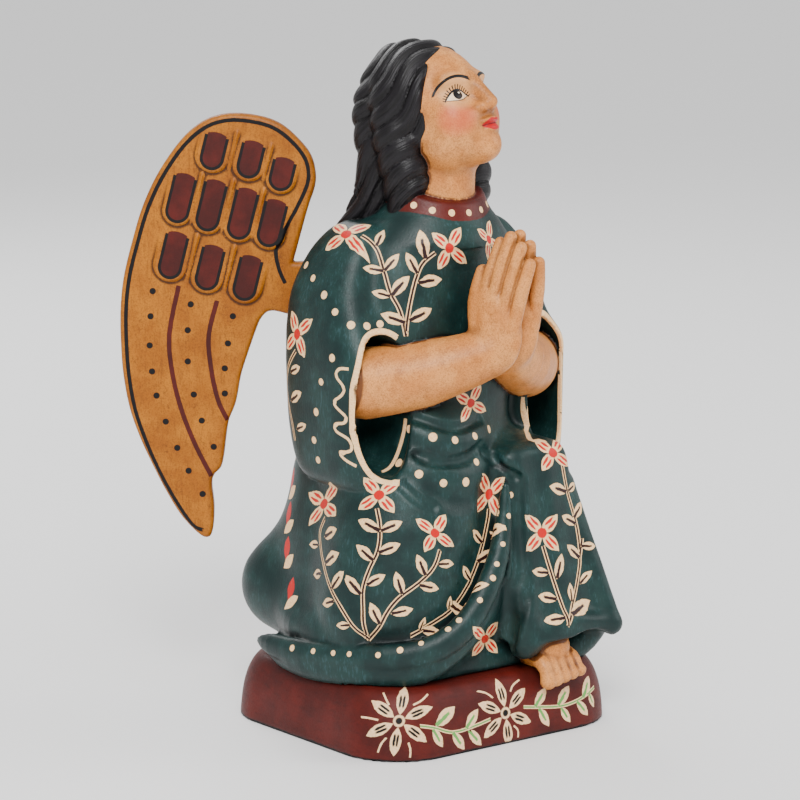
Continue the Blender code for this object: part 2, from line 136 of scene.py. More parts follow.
def limb(points, radii, steps=3, flatness=1.0):
    """A tube of changing radius; a flatness under 1 stretches its section upright."""
    path, places = curve_through(points, steps)
    widths = np.interp(places, np.arange(len(radii)), radii)

    def measure(p):
        distance, place, offset = nearest_on(p, path)
        radius = np.interp(place, np.arange(len(widths)), widths)
        if flatness != 1.0:
            distance = np.hypot(np.hypot(offset[:, 0], offset[:, 1]), offset[:, 2] * flatness)
        return distance - radius

    reach = max(radii) / flatness
    return Form(path.min(0) - reach, path.max(0) + reach, measure)


def stack(sections, power):
    """A loft of level sections, each (height, centre x, centre y, half x, half y)."""
    rows = np.array(sections, float)
    smooth, _ = curve_through(rows, 6)
    z = smooth[:, 0]

    def measure(p):
        centre_x, centre_y, half_x, half_y = (np.interp(p[:, 2], z, smooth[:, k]) for k in (1, 2, 3, 4))
        x, y = p[:, 0] - centre_x, p[:, 1] - centre_y
        share = (np.abs(x / half_x) ** power + np.abs(y / half_y) ** power) ** (1 / power)
        flat = np.hypot(x, y)
        sideways = flat * (1 - 1 / np.maximum(share, 0.05))
        ends = np.maximum(p[:, 2] - z[-1], z[0] - p[:, 2])
        return smooth_max(sideways, ends, 3.0)

    low = ((rows[:, 1] - rows[:, 3]).min(), (rows[:, 2] - rows[:, 4]).min(), z[0])
    high = ((rows[:, 1] + rows[:, 3]).max(), (rows[:, 2] + rows[:, 4]).max(), z[-1])
    return Form(low, high, measure)


def groove(points, half_width, depth):
    """A carved line pressed into a skin; a negative depth raises a ridge."""
    path, _ = curve_through(points, 4)
    reach = half_width * 1.8

    def measure(p):
        distance, _, _ = nearest_on(p, path)
        return depth * (0.5 + 0.5 * np.cos(np.pi * np.clip(distance / reach, 0, 1)))

    return Form(path.min(0) - reach, path.max(0) + reach, measure)


def join(total, points, form, softness):
    """Melts a form into the field."""
    near = form.near(points)
    if near.any():
        total[near] = smooth_min(total[near], form.measure(points[near]), softness)


def carve(total, points, form, softness):
    """Cuts a form out of the field."""
    near = form.near(points)
    if near.any():
        total[near] = smooth_max(total[near], -form.measure(points[near]), softness)


def press(total, points, grooves):
    """Presses carved lines into the field."""
    for line in grooves:
        near = line.near(points)
        if near.any():
            total[near] += line.measure(points[near])


def melt(points, parts):
    """The smooth union of (form, softness) pairs."""
    total = np.full(len(points), FAR)
    for form, softness in parts:
        join(total, points, form, softness)
    return total


# The photograph's camera, which also places the painted motifs

CAMERA_TURN = math.radians(-38.0)
CAMERA_RISE = math.radians(10.0)
CAMERA_DISTANCE = 1600.0
CAMERA_FOCUS = 3333.3
PICTURE_MIDDLE = 400.0
CAMERA_TARGET = np.array([-7.54, 6.99, 154.89])
CAMERA_BACK = np.array([math.sin(CAMERA_TURN) * math.cos(CAMERA_RISE),
                        -math.cos(CAMERA_TURN) * math.cos(CAMERA_RISE), math.sin(CAMERA_RISE)])
CAMERA_RIGHT = np.array([math.cos(CAMERA_TURN), math.sin(CAMERA_TURN), 0.0])
CAMERA_UP = np.cross(CAMERA_BACK, CAMERA_RIGHT)
CAMERA_PLACE = CAMERA_TARGET + CAMERA_BACK * CAMERA_DISTANCE


def sight_line(x, y):
    ray = (CAMERA_RIGHT * (x - PICTURE_MIDDLE) - CAMERA_UP * (y - PICTURE_MIDDLE)) / CAMERA_FOCUS
    ray = ray - CAMERA_BACK
    return ray / np.linalg.norm(ray)


def tree_of(node):
    """The CAD piece's skin, in millimetres above the plinth's top."""
    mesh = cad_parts[node].data
    points = np.empty(len(mesh.vertices) * 3, np.float32)
    mesh.vertices.foreach_get("co", points)
    points = points.reshape(-1, 3) / MM - np.array([0, 0, FIGURE_FOOT])
    return BVHTree.FromPolygons(points.tolist(), [tuple(face.vertices) for face in mesh.polygons])


def seen_on(tree, x, y):
    """Where the photograph's camera meets a skin."""
    eye = CAMERA_PLACE - np.array([0, 0, FIGURE_FOOT])
    place, _, _, _ = tree.ray_cast(Vector(eye), Vector(sight_line(x, y)))
    return None if place is None else np.array(place)


# Forms of the robe

ROBE_FORMS = [
    (stack([(0.0, -1, 1, 63, 55), (10, -1, 2, 62, 54), (24, -4, 5, 57, 51), (48, -7, 8, 53, 48),
            (78, -6, 9, 50, 46), (100, -5, 7, 48, 43), (122, -2, 3, 43, 38), (150, 0, 0, 42, 36),
            (180, 0, 0, 44, 36), (198, 0, 0, 43, 33), (208, 0, -3, 35, 28), (216, 0, -8, 25, 23)],
           2.8), 1.0),
    (ball((0, -13.5, 202), (30, 26.5, 15)), 8.0),
    (ball((-24, -4, 164), (27, 30, 40)), 8.0),
    (ball((24, -4, 164), (27, 30, 40)), 8.0),
    # Right thigh, the swag of cloth across it, and the shin lying back
    (limb([(-14, -14, 98), (-26, -20, 66), (-36, -20, 28)], [38, 37, 34]), 8.0),
    (limb([(-50, -4, 16), (-30, -30, 22), (-4, -34, 40), (4, -32, 66)], [18, 30, 26, 23]), 5.0),
    (limb([(-40, 0, 22), (-39, 30, 24), (-39, 54, 28)], [24, 23, 22.5]), 6.0),
    (limb([(-24, 26, 68), (-34, 42, 46), (-39, 54, 30)], [24, 22, 21]), 8.0),
    (limb([(-60, -6, 18), (-59, 14, 18), (-54, 26, 20)], [9, 9, 8]), 6.0),
    # Left thigh and the cloth falling from the knee
    (limb([(16, 8, 88), (24, -20, 88), (27, -32, 84)], [27, 26, 23]), 6.0),
    (stack([(14, 36, -42, 31, 31), (24, 34.5, -41, 29.5, 29), (50, 30.5, -39, 26.5, 26),
            (80, 27.5, -37, 23.5, 24), (97, 26.5, -35.5, 22.5, 23), (104, 26, -35, 20, 21),
            (107, 26, -34, 15, 16)], 3.8), 4.0),
    (limb([(48, -49, 84), (56, -61, 42), (62, -69, 17)], [5, 6, 5]), 5.0),
    (limb([(8, -52, 84), (10, -58, 50), (14, -62, 14)], [6, 7, 8]), 4.0),
    (limb([(12, -62, 12), (34, -68, 22), (61, -69.5, 17)], [5, 4, 4]), 4.0),
    (limb([(63, -58, 16), (58, -54, 8), (50, -50, 2)], [6, 7, 8]), 4.0),
]

RIM_PATH = [(6, -56, 88), (3, -58, 70), (-6, -62, 50), (-24, -64, 28), (-44, -57, 16),
            (-62, -36, 12), (-71, -2, 9), (-73, 22, 9), (-72.5, 33, 9)]
RIM_RADII = [2.0, 4.2, 5.2, 5.5, 5, 5, 5, 4, 1.5]
RIM_FLATNESS = 0.72
# The border slopes out below its upper edge
RIM_UNDER = [(-2, -56, 36), (-22, -58, 20), (-42, -52, 8), (-59, -33, 5), (-67, -2, 4), (-66, 20, 4),
             (-62, 34, 5)]
RIM_UNDER_RADII = [3.5, 7, 8, 8, 8, 7, 5]
HEM_HOLLOW = ball((46.5, -70, 6), (16, 10, 10.5))

SLEEVE_HALF_WIDTH = 18.5
SLEEVE_WALL = 4.5
SLEEVE_FRONT = -33.0
SLEEVE_HOLLOW_DEPTH = 34.0
SLEEVE_SPLAY = 0.78
SLEEVE_INNER_LIP = {-1: 0.0, 1: 4.5}
SLEEVE_HOLLOW_MIDDLE = 129.0
SLEEVE_HOLLOW_HALF_HEIGHT = 33.0
SLEEVE_MIDDLE = {-1: 47.5, 1: 51.5}
SLEEVE_SECTIONS = [
    (88, 0, -27, 11, 0.45), (91, 0, -31, 19, 0.72), (98, 0, -33, 25, 0.88), (116, 0, -33.5, 29.5, 0.97),
    (140, 0, -33.5, 31, 1.0), (152, 0, -32, 31, 1.0), (164, 1, -26, 31, 1.0), (180, 3, -20, 29, 0.97),
    (196, 8, -17, 24, 0.88), (206, 13, -14, 19, 0.7), (211, 17, -10, 14, 0.5)]
LEFT_SLOPE_START = 160
LEFT_SLOPE = 4.0


def sleeve(side):
    sections = []
    for z, inwards, front, back, share in SLEEVE_SECTIONS:
        if side > 0 and z > LEFT_SLOPE_START:
            inwards += LEFT_SLOPE
        middle = side * (SLEEVE_MIDDLE[side] - inwards)
        sections.append((z, middle, (front + back) / 2, share * SLEEVE_HALF_WIDTH, (back - front) / 2))
    return stack(sections, 3.0)


def sleeve_hollow(points, side):
    """Signed distance to the open inside of a sleeve."""
    depth = np.clip((points[:, 1] - SLEEVE_FRONT) / SLEEVE_HOLLOW_DEPTH, 0.0, 1.0)
    inset = 7.0 * depth ** 2
    half_x = SLEEVE_HALF_WIDTH - SLEEVE_WALL - inset * 0.6
    half_z = SLEEVE_HOLLOW_HALF_HEIGHT - inset
    # In front of the opening the hollow runs outwards, so that it leaves the lap whole
    ahead = np.maximum(0.0, SLEEVE_FRONT - points[:, 1])
    x = side * points[:, 0] - SLEEVE_MIDDLE[side] + 1.0 - SLEEVE_SPLAY * ahead
    half_x = np.where(x < 0, half_x - SLEEVE_INNER_LIP[side], half_x)
    z = points[:, 2] - SLEEVE_HOLLOW_MIDDLE
    share = (np.abs(x / half_x) ** 2.4 + np.abs(z / half_z) ** 2.4) ** (1 / 2.4)
    sideways = np.hypot(x, z) * (1 - 1 / np.maximum(share, 0.05))
    return smooth_max(sideways, points[:, 1] - SLEEVE_FRONT - SLEEVE_HOLLOW_DEPTH, 4.0)


ROBE_FORMS += [(sleeve(-1), 4.0), (sleeve(1), 4.0)]

# Carved folds: (path, half width, depth)
FOLD_LINES = [
    ([(-40, -36, 112), (-22, -46, 104), (-2, -50, 104), (12, -46, 110)], 5, 2.2),
    ([(-42, -36, 96), (-24, -54, 86), (-6, -58, 86), (8, -52, 94)], 5, 2.0),
    ([(2, -54, 84), (-2, -58, 62), (-14, -60, 42), (-36, -56, 26), (-58, -36, 22)], 7, 4.0),
    ([(8, -58, 92), (10, -62, 60), (10, -64, 36), (6, -60, 18)], 4, 3.0),
    ([(22, -60, 98), (22, -66, 60), (22, -70, 30)], 6, 1.6),
    ([(38, -58, 96), (42, -64, 60), (46, -70, 30)], 6, 1.2),
    ([(30, 34, 150), (34, 44, 100), (44, 50, 40)], 7, 2.6),
    ([(4, 38, 150), (2, 54, 90), (4, 58, 30)], 7, 2.4),
    ([(-20, 36, 150), (-26, 52, 90), (-14, 58, 30)], 7, 2.4),
    ([(52, 10, 100), (56, 8, 60), (62, 6, 20)], 7, 2.6),
    ([(50, -14, 96), (56, -20, 60), (62, -24, 20)], 6, 2.4)]
FOLDS = [groove(*fold) for fold in FOLD_LINES]

# Creases of the cloth, as places in the photograph: (line, half width, depth)
CREASE_LINES = [
    ([(404, 415), (420, 421), (443, 428), (462, 428), (478, 420)], 2.4, 1.9),
    ([(402, 451), (423, 459), (441, 463), (464, 459), (478, 446)], 2.4, 2.0),
    ([(402, 487), (419, 501), (433, 508)], 2.2, 1.4),
    ([(482, 452), (500, 462), (514, 474)], 2.6, 2.4),
    ([(517, 480), (518, 530), (518, 574), (509, 600), (512, 645)], 3.0, 3.4)]
FIGURE_SKIN = tree_of("figure")


def seen_groove(pixels, half_width, depth):
    """A groove where the photograph's camera meets the CAD figure."""
    places = [seen_on(FIGURE_SKIN, *pixel) for pixel in pixels]
    return groove([place for place in places if place is not None], half_width, depth)


CREASES = [seen_groove(*crease) for crease in CREASE_LINES]
RIM = limb(RIM_PATH, RIM_RADII, flatness=RIM_FLATNESS)
UNDER_RIM = limb(RIM_UNDER, RIM_UNDER_RADII)


COLLAR_MIDDLE = -12.5
COLLAR_HEIGHT = 218.7
COLLAR_SLOPE = 0.31
COLLAR_WIDTH = 8.5
COLLAR_DOTS = 16
YOKE_DEPTH = 9.0
YOKE_LOWEST = 190


def collar_place(points):
    """Distance from the neck's middle and height above the collar's sloping lower edge."""
    y = points[:, 1] - COLLAR_MIDDLE
    return np.hypot(points[:, 0] / 1.1, y), points[:, 2] - COLLAR_SLOPE * y - COLLAR_HEIGHT


def collar_field(points):
    """A sloping band round the neck, lower in front."""
    radius, rise = collar_place(points)
    band = (radius - 23.5 + 0.36 * rise) / 1.06
    return np.maximum(smooth_max(band, rise - COLLAR_WIDTH, 1.6), -1.0 - rise)


def yoke_field(points):
    """The robe's cloth rising to the collar all round."""
    radius, rise = collar_place(points)
    return np.maximum((radius - 23.0 + 0.5 * rise) / 1.12, np.maximum(rise - 0.5, -YOKE_DEPTH - rise))


def robe_field(points):
    total = melt(points, ROBE_FORMS)
    near = points[:, 2] > YOKE_LOWEST
    total[near] = smooth_min(total[near], yoke_field(points[near]), 3.0)
    press(total, points, FOLDS)
    join(total, points, UNDER_RIM, 4.0)
    join(total, points, RIM, 1.2)
    press(total, points, CREASES)
    carve(total, points, HEM_HOLLOW, 1.5)
    for side in (-1, 1):
        total = smooth_max(total, -sleeve_hollow(points, side), 2.0)
    return total


# Head axes: turned to the figure's left and tilted up

def turn_z(degrees):
    c, s = math.cos(math.radians(degrees)), math.sin(math.radians(degrees))
    return np.array([[c, -s, 0], [s, c, 0], [0, 0, 1.0]])


def turn_x(degrees):
    c, s = math.cos(math.radians(degrees)), math.sin(math.radians(degrees))
    return np.array([[1.0, 0, 0], [0, c, -s], [0, s, c]])


HEAD_CENTRE = np.array([-1.5, -11, 261.5])
HEAD_TURN = 20.0
HEAD_AXES = turn_z(HEAD_TURN) @ turn_x(-24)
HEAD_SHARE = 0.92
# Radius of the cylinder that the face's paint is laid out on
FACE_WRAP = 27.0


def head_point(left, front, up):
    return HEAD_CENTRE + HEAD_AXES @ np.array([left, -front, up]) * HEAD_SHARE


def to_head(points):
    """Head-local coordinates (left, front, up) of points."""
    local = (points - HEAD_CENTRE) @ HEAD_AXES / HEAD_SHARE
    return np.stack([local[:, 0], -local[:, 1], local[:, 2]], axis=1)


def head_ball(left, front, up, radii):
    return ball(head_point(left, front, up), np.array(radii) * HEAD_SHARE, HEAD_AXES)


def head_limb(points, radii):
    return limb([head_point(*p) for p in points], [r * HEAD_SHARE for r in radii])


HEAD_FORMS = [
    (limb([(0, -12, 196), (0, -13, 222), (1, -13, 240)], [19.5, 17, 16.5]), 1.0),
    (head_ball(0, 0, 5, (25, 29, 30)), 5.0),
    (head_ball(0, 8, -8, (21, 22.5, 25)), 6.0),
    (head_ball(0, 21, -26, (9.5, 9, 8.5)), 6.0)]
for _side in (-1, 1):
    HEAD_FORMS += [
        (head_ball(_side * 13, 17, -10, (9, 9.5, 11)), 6.0),
        (head_ball(_side * 12, 8, -20, (9, 12, 9)), 7.0),
        (head_ball(_side * 11, 22.4, 9.5, (9.5, 4.5, 3.2)), 4.0)]
HEAD_SOCKETS = [head_ball(side * 11.5, 30.6, -0.5, (8.2, 6.5, 6.4)) for side in (-1, 1)]
HEAD_FEATURES = [
    (head_limb([(0, 27.5, 9), (0, 31.5, -1), (0, 33.6, -7)], [3.0, 3.2, 3.7]), 2.6),
    (head_ball(0, 28.8, -15.4, (7.4, 3.8, 2.2)), 1.4),
    (head_ball(0, 28.0, -19.6, (5.8, 3.8, 2.5)), 1.0)]
for _side in (-1, 1):
    HEAD_FEATURES += [
        (head_ball(_side * 4.1, 30.2, -8.4, (3.0, 3.6, 2.7)), 1.8),
        (head_ball(_side * 11.6, 20.4, 0.2, (7.4, 5.6, 5.0)), 0.8)]
MOUTH_LINE = groove([head_point(-6.5, 29.6, -17.8), head_point(-2.5, 32.0, -17.4),
                     head_point(2.5, 32.0, -17.4), head_point(6.5, 29.6, -17.8)], 0.7, 0.9)


def head_field(points):
    total = melt(points, HEAD_FORMS)
    for socket in HEAD_SOCKETS:
        carve(total, points, socket, 3.0)
    for form, softness in HEAD_FEATURES:
        join(total, points, form, softness)
    press(total, points, [MOUTH_LINE])
    return total


# Arms, hands and foot

ELBOW = np.array([46, -16, 138.0])
WRISTS = np.array([5, -50, 152.0])
HANDS_TURN = turn_z(20)
FINGERS = [
    ((9.6, -3.5, 16), (8.0, 1.0, 36), (4.2, 4.5, 52)),
    ((10.4, 2.5, 15), (8.6, 6.6, 38), (4.2, 10.0, 55)),
    ((10.2, 8.5, 14), (8.2, 12.4, 35), (4.2, 15.4, 50.5)),
    ((9.4, 14.0, 12), (7.6, 17.8, 30), (4.2, 20.2, 43))]
THUMB = ((9.0, -3.5, 8), (8.5, -5.5, 24), (5.5, -4.0, 38))


def hand_point(side, outwards, forwards, up):
    return WRISTS + HANDS_TURN @ np.array([side * outwards, -forwards, up])


def arm_forms(side):
    elbow = np.array([side * (ELBOW[0] + SLEEVE_MIDDLE[side] - SLEEVE_MIDDLE[-1]), ELBOW[1], ELBOW[2]])
    wrist = hand_point(side, 8.5, 0, 0)
    middle = (elbow + wrist) / 2 + np.array([side * 2, -1, -2])
    inner = elbow + np.array([side * 2, 12, 0])
    forearm = limb([inner, elbow, middle, wrist], [15, 17, 15.5, 11.5])
    palm = ball(hand_point(side, 7.5, 4.5, 15), (7.5, 12.5, 20), HANDS_TURN @ turn_x(-16))
    fingers = [limb([hand_point(side, *p) for p in finger], [3.5, 3.3, 2.9]) for finger in FINGERS]
    thumb = limb([hand_point(side, *p) for p in THUMB], [5.0, 4.4, 3.6])
    return [(forearm, 3.0), (palm, 6.0), *((finger, 0.5) for finger in fingers), (thumb, 1.4)]


TOES = 5
TOE_SPACING = 4.9
BIG_TOE_PLACE = 20.6
BIG_TOE_RADIUS = 3.4


def toe(k):
    """The toe k places from the big one."""
    x = BIG_TOE_PLACE + TOE_SPACING * k
    radius = BIG_TOE_RADIUS - 0.18 * k
    path = [(x, -56, 6.5), (x, -65.5, 3.5), (x + 0.2, -69.3, -0.5), (x + 0.4, -70.6, -5.2 + 0.7 * k)]
    return limb(path, [radius, radius + 0.3, radius - 0.2, radius + 0.5])


INSTEP = ball((30.0, -54, 8), (13, 15.5, 12))
FOOT_FORMS = [(INSTEP, 1.0), *((toe(k), 1.1) for k in range(TOES))]


def flesh_field(points):
    total = head_field(points)
    for forms in (arm_forms(-1), arm_forms(1), FOOT_FORMS):
        total = smooth_min(total, melt(points, forms), 0.3)
    return total


# Hair in carved, wavy locks

LOCKS = [
    ([(-10, 2, 284), (-21, -5, 270), (-22, -9, 252), (-19, -12, 234), (-18, -11, 219)],
     [9, 10, 11, 11.5, 9]),
    ([(-8, 11, 282), (-20, 9, 264), (-20, 6, 240), (-21, 8, 222), (-28, 15, 210), (-33, 20, 204)],
     [10.5, 11, 11, 10.5, 7, 3.5]),
    ([(0, 12, 274), (-6, 13, 252), (-7, 14, 232), (-10, 18, 214), (-15, 22, 200), (-17, 24, 192)],
     [13, 13, 13, 12, 8, 4]),
    ([(8, 8, 274), (11, 10, 252), (10, 12, 232), (10, 17, 214), (9, 21, 200), (9, 23, 192)],
     [12, 12.5, 13, 12, 8, 4]),
    ([(14, 2, 274), (23, -2, 256), (24, -5, 238), (23, -6, 222), (26, 2, 210)],
     [10, 10, 10.5, 10.5, 7])]
HAIR_CAP = head_ball(0, -3.5, 8, (28.6, 28.5, 31.5))
HAIR_LOCKS = [(limb(points, radii), 3.0) for points, radii in LOCKS]
BACKWARDS = turn_z(HEAD_TURN) @ np.array([0, 1.0, 0])
SIDEWAYS = turn_z(HEAD_TURN) @ np.array([1.0, 0, 0])
WAVE_WIDTH = 8.5
WAVE_DEPTH = 1.7


def hair_place(points):
    """Across and along the combed strands, which sweep down and back from the face."""
    offset = points - HEAD_CENTRE
    back, rise = offset @ BACKWARDS, offset[:, 2]
    side = np.sqrt((offset @ SIDEWAYS) ** 2 + 16.0)
    along = 0.72 * back - 0.70 * rise
    tilt = -0.2 + 0.5 * np.clip((32.0 - rise) / 64.0, 0, 1)
    across = 0.72 * rise + 0.70 * back + tilt * side + 2.8 * np.sin(0.12 * along + 0.06 * side)
    return across, along


def hair_carving(points):
    """How deep the carved waves cut."""
    across, along = hair_place(points)
    wave = np.abs(np.sin(np.pi * (across / WAVE_WIDTH + 0.16 * np.sin(0.085 * along + 1.0))))
    return WAVE_DEPTH * (1 - wave ** 0.7)


def hair_field(points):
    total = np.full(len(points), FAR)
    near = HAIR_CAP.near(points)
    if near.any():
        local = to_head(points[near])
        face_side = local[:, 1] - 10.5 - 0.34 * (local[:, 2] - 5)
        total[near] = smooth_max(HAIR_CAP.measure(points[near]), face_side * 0.9, 1.5)
    for form, softness in HAIR_LOCKS:
        join(total, points, form, softness)
    near = total < 8.0
    total[near] += hair_carving(points[near]) - 0.8
    return total


def plinth_outline(points, height):
    """Signed distance to the plinth's rounded outline, which draws in towards its top."""
    rise = np.clip(height / BASE_TOP, 0.0, 1.0)
    inset = BASE_SHOULDER * (1.0 - np.sqrt(np.maximum(0.0, 1.0 - rise ** 2.2)))
    corner = BASE_CORNER - inset * 0.5
    x = np.abs(points[:, 0]) - (BASE_HALF_X - inset - corner)
    y = np.abs(points[:, 1]) - (BASE_HALF_Y - inset - corner)
    return np.hypot(np.maximum(x, 0), np.maximum(y, 0)) + np.minimum(np.maximum(x, y), 0) - corner


def plinth_field(points):
    """Signed distance to the plinth, grown by the joint's gap."""
    outline = plinth_outline(points, points[:, 2] + FIGURE_FOOT)
    return np.maximum(outline, points[:, 2] + JOINT_GAP) - JOINT_GAP


WING_ROOT = (22.0, 36.0)
WING_ANGLE = math.radians(38.0)
WING_FOOT = 52.7
WING_THICKNESS = 9.0
SEAT_DEPTH = 4.0
ROOT_LOW = 108.5
ROOT_HIGH = 135.5


def wing_axes(side):
    """Across from the root, through the thickness, and up."""
    out = np.array([side * math.cos(WING_ANGLE), math.sin(WING_ANGLE), 0])
    return np.stack([out, [-side * out[1], side * out[0], 0], [0, 0, 1]])


def wing_root(side):
    return np.array([side * WING_ROOT[0], WING_ROOT[1], WING_FOOT])


def to_wing(points, side):
    """Wing coordinates: across from the root, through the thickness, and up from the foot."""
    out, through, _ = wing_axes(side)
    local = points - wing_root(side)
    return np.stack([local @ out, local @ through, local[:, 2]], axis=1)


def seat_field(points, side):
    """The pocket in the back that a wing's root sits in."""
    local = to_wing(points, side)
    middle = (ROOT_LOW + ROOT_HIGH) / 2
    across = -SEAT_DEPTH - local[:, 0]
    through = np.abs(local[:, 1]) - WING_THICKNESS / 2 - JOINT_GAP
    up = np.abs(local[:, 2] - middle) - (ROOT_HIGH - ROOT_LOW) / 2 - JOINT_GAP
    return np.maximum(np.maximum(across, through), up)


def figure_groups(points):
    """The fields of robe, flesh, hair and collar, each with the plinth and wings cut away."""
    fields = [robe_field(points), flesh_field(points), hair_field(points), collar_field(points)]
    cutter = np.minimum(plinth_field(points), np.minimum(seat_field(points, -1), seat_field(points, 1)))
    return [np.maximum(field, -cutter) for field in fields]


def figure_field(points):
    robe, flesh, hair, collar = figure_groups(points)
    total = smooth_min(robe, collar, 1.0)
    total = smooth_min(total, flesh, 0.5)
    return smooth_min(total, hair, 0.6)


# From field to mesh

def band_values(field, low, high, step):
    """Field values on a grid, worked out exactly only near the surface."""
    counts = np.ceil((np.asarray(high) - low) / step).astype(int) + 1
    coarse = 4
    axes = [np.arange(0, n + coarse, coarse) * step + o for n, o in zip(counts, low)]
    grid = np.stack(np.meshgrid(*axes, indexing="ij"), axis=-1)
    rough = field(grid.reshape(-1, 3)).reshape(grid.shape[:3])
    for axis in range(3):
        n = counts[axis]
        place = np.arange(n) / coarse
        k = np.minimum(place.astype(int), rough.shape[axis] - 2)
        t = (place - k).reshape([-1 if a == axis else 1 for a in range(3)])
        rough = np.take(rough, k, axis) * (1 - t) + np.take(rough, k + 1, axis) * t
    values = rough
    near = np.argwhere(np.abs(values) < coarse * step * 1.25)
    exact = np.concatenate([field(chunk * step + low)
                            for chunk in np.array_split(near, max(1, len(near) // 200000))])
    values[tuple(near.T)] = exact
    return values


CORNERS = np.array([(i, j, k) for i in (0, 1) for j in (0, 1) for k in (0, 1)])
CELL_EDGES = [(a, b) for a in range(8) for b in range(a + 1, 8)
              if np.abs(CORNERS[a] - CORNERS[b]).sum() == 1]


def surface_net(values, low, step):
    """One vertex in each grid cell that the surface crosses, joined by quads."""
    inside = values < 0
    size = np.array(values.shape) - 1
    count = sum(inside[i:size[0] + i, j:size[1] + j, k:size[2] + k].astype(np.int8)
                for i, j, k in CORNERS)
    cells = np.argwhere((count > 0) & (count < 8))
    index = np.full(size, -1)
    index[tuple(cells.T)] = np.arange(len(cells))
    at_corner = [values[tuple((cells + c).T)] for c in CORNERS]
    total, hits = np.zeros((len(cells), 3)), np.zeros(len(cells))
    for a, b in CELL_EDGES:
        crossing = (at_corner[a] < 0) != (at_corner[b] < 0)
        share = at_corner[a][crossing] / (at_corner[a][crossing] - at_corner[b][crossing])
        total[crossing] += CORNERS[a] + share[:, None] * (CORNERS[b] - CORNERS[a])
        hits[crossing] += 1
    points = (cells + total / hits[:, None]) * step + low
    quads = []
    for axis in range(3):
        one, two = np.eye(3, dtype=int)[(axis + 1) % 3], np.eye(3, dtype=int)[(axis + 2) % 3]
        start = inside[:-1 if axis == 0 else None, :-1 if axis == 1 else None, :-1 if axis == 2 else None]
        end = inside[1 if axis == 0 else 0:, 1 if axis == 1 else 0:, 1 if axis == 2 else 0:]
        at = np.argwhere(start != end)
        at = at[np.all((at >= one + two) & (at < size), axis=1)]
        out = start[tuple(at.T)]
        ring = [index[tuple((at - o).T)] for o in (one + two, two, 0 * one, one)]
        quad = np.stack(ring, axis=1)
        quad[~out] = quad[~out][:, ::-1]
        quads.append(quad)
    quads = np.concatenate(quads)
    quads = quads[(quads >= 0).all(axis=1)]
    first = np.linalg.norm(points[quads[:, 0]] - points[quads[:, 2]], axis=1)
    second = np.linalg.norm(points[quads[:, 1]] - points[quads[:, 3]], axis=1)
    short = first < second
    triangles = np.concatenate([quads[short][:, [0, 1, 2]], quads[short][:, [0, 2, 3]],
                                quads[~short][:, [0, 1, 3]], quads[~short][:, [1, 2, 3]]])
    return points, triangles


def gradient(field, points, h=0.15):
    steps = np.array([(1, -1, -1), (-1, -1, 1), (-1, 1, -1), (1, 1, 1)]) * h
    return sum(s * field(points + s)[:, None] for s in steps) / (4 * h * h)


def project(field, points, rounds=2, most=0.8):
    """Moves points onto the surface."""
    points = points.copy()
    for _ in range(rounds):
        value, slope = field(points), gradient(field, points)
        length2 = np.maximum((slope ** 2).sum(1), 0.05)
        move = -(value / length2)[:, None] * slope
        length = np.linalg.norm(move, axis=1, keepdims=True)
        points += move * np.minimum(1.0, most / np.maximum(length, 1e-9))
    return points


def refine(points, triangles, wanted):
    """Splits each edge longer than the length wanted at its middle."""
    edges = np.concatenate([triangles[:, pair] for pair in ([0, 1], [1, 2], [2, 0])])
    unique, inverse = np.unique(np.sort(edges, axis=1), axis=0, return_inverse=True)
    inverse = inverse.reshape(3, -1).T
    middle = (points[unique[:, 0]] + points[unique[:, 1]]) / 2
    length = np.linalg.norm(points[unique[:, 0]] - points[unique[:, 1]], axis=1)
    split = length > wanted(middle)
    new_index = np.full(len(unique), -1)
    new_index[split] = len(points) + np.arange(split.sum())
    points = np.concatenate([points, middle[split]])
    marks = split[inverse]
    mids = new_index[inverse]
    result = [triangles[marks.sum(1) == 0]]
    for turn in range(3):
        order = [(turn + k) % 3 for k in range(3)]
        t, m, mid = triangles[:, order], marks[:, order], mids[:, order]
        a, b, c = t.T
        ab, bc, ca = mid.T
        one = m[:, 0] & ~m[:, 1] & ~m[:, 2]
        result += [np.stack(s, 1)[one] for s in ((a, ab, c), (ab, b, c))]
        two = m[:, 0] & m[:, 1] & ~m[:, 2]
        result += [np.stack(s, 1)[two] for s in ((ab, b, bc), (a, ab, bc), (a, bc, c))]
        if turn == 0:
            every = m.all(1)
            result += [np.stack(s, 1)[every] for s in ((a, ab, ca), (ab, b, bc), (ca, bc, c), (ab, bc, ca))]
    return points, np.concatenate(result)


def place_object(name, data, place=(0, 0, 0), aim=None):
    """Puts data in the scene, its own -Z turned to the aim."""
    obj = bpy.data.objects.new(name, data)
    obj.location = Vector(place)
    if aim is not None:
        obj.rotation_euler = Vector(aim).to_track_quat("-Z", "Y").to_euler()
    bpy.context.scene.collection.objects.link(obj)
    return obj


def make_object(name, points, triangles, lift):
    mesh = bpy.data.meshes.new(name)
    placed = (points + np.array([0, 0, lift])) * MM
    mesh.vertices.add(len(placed))
    mesh.vertices.foreach_set("co", placed.astype(np.float32).ravel())
    mesh.loops.add(len(triangles) * 3)
    mesh.loops.foreach_set("vertex_index", triangles.astype(np.int32).ravel())
    mesh.polygons.add(len(triangles))
    mesh.polygons.foreach_set("loop_start", np.arange(0, len(triangles) * 3, 3, dtype=np.int32))
    mesh.update(calc_edges=True)
    mesh.validate()
    mesh.shade_smooth()
    return place_object(name, mesh)


def plane_axes(normal):
    """Two directions square to a normal and to each other."""
    one = np.cross(normal, [0.3, 0.2, 1.0])
    one /= np.linalg.norm(one)
    return one, np.cross(normal, one)


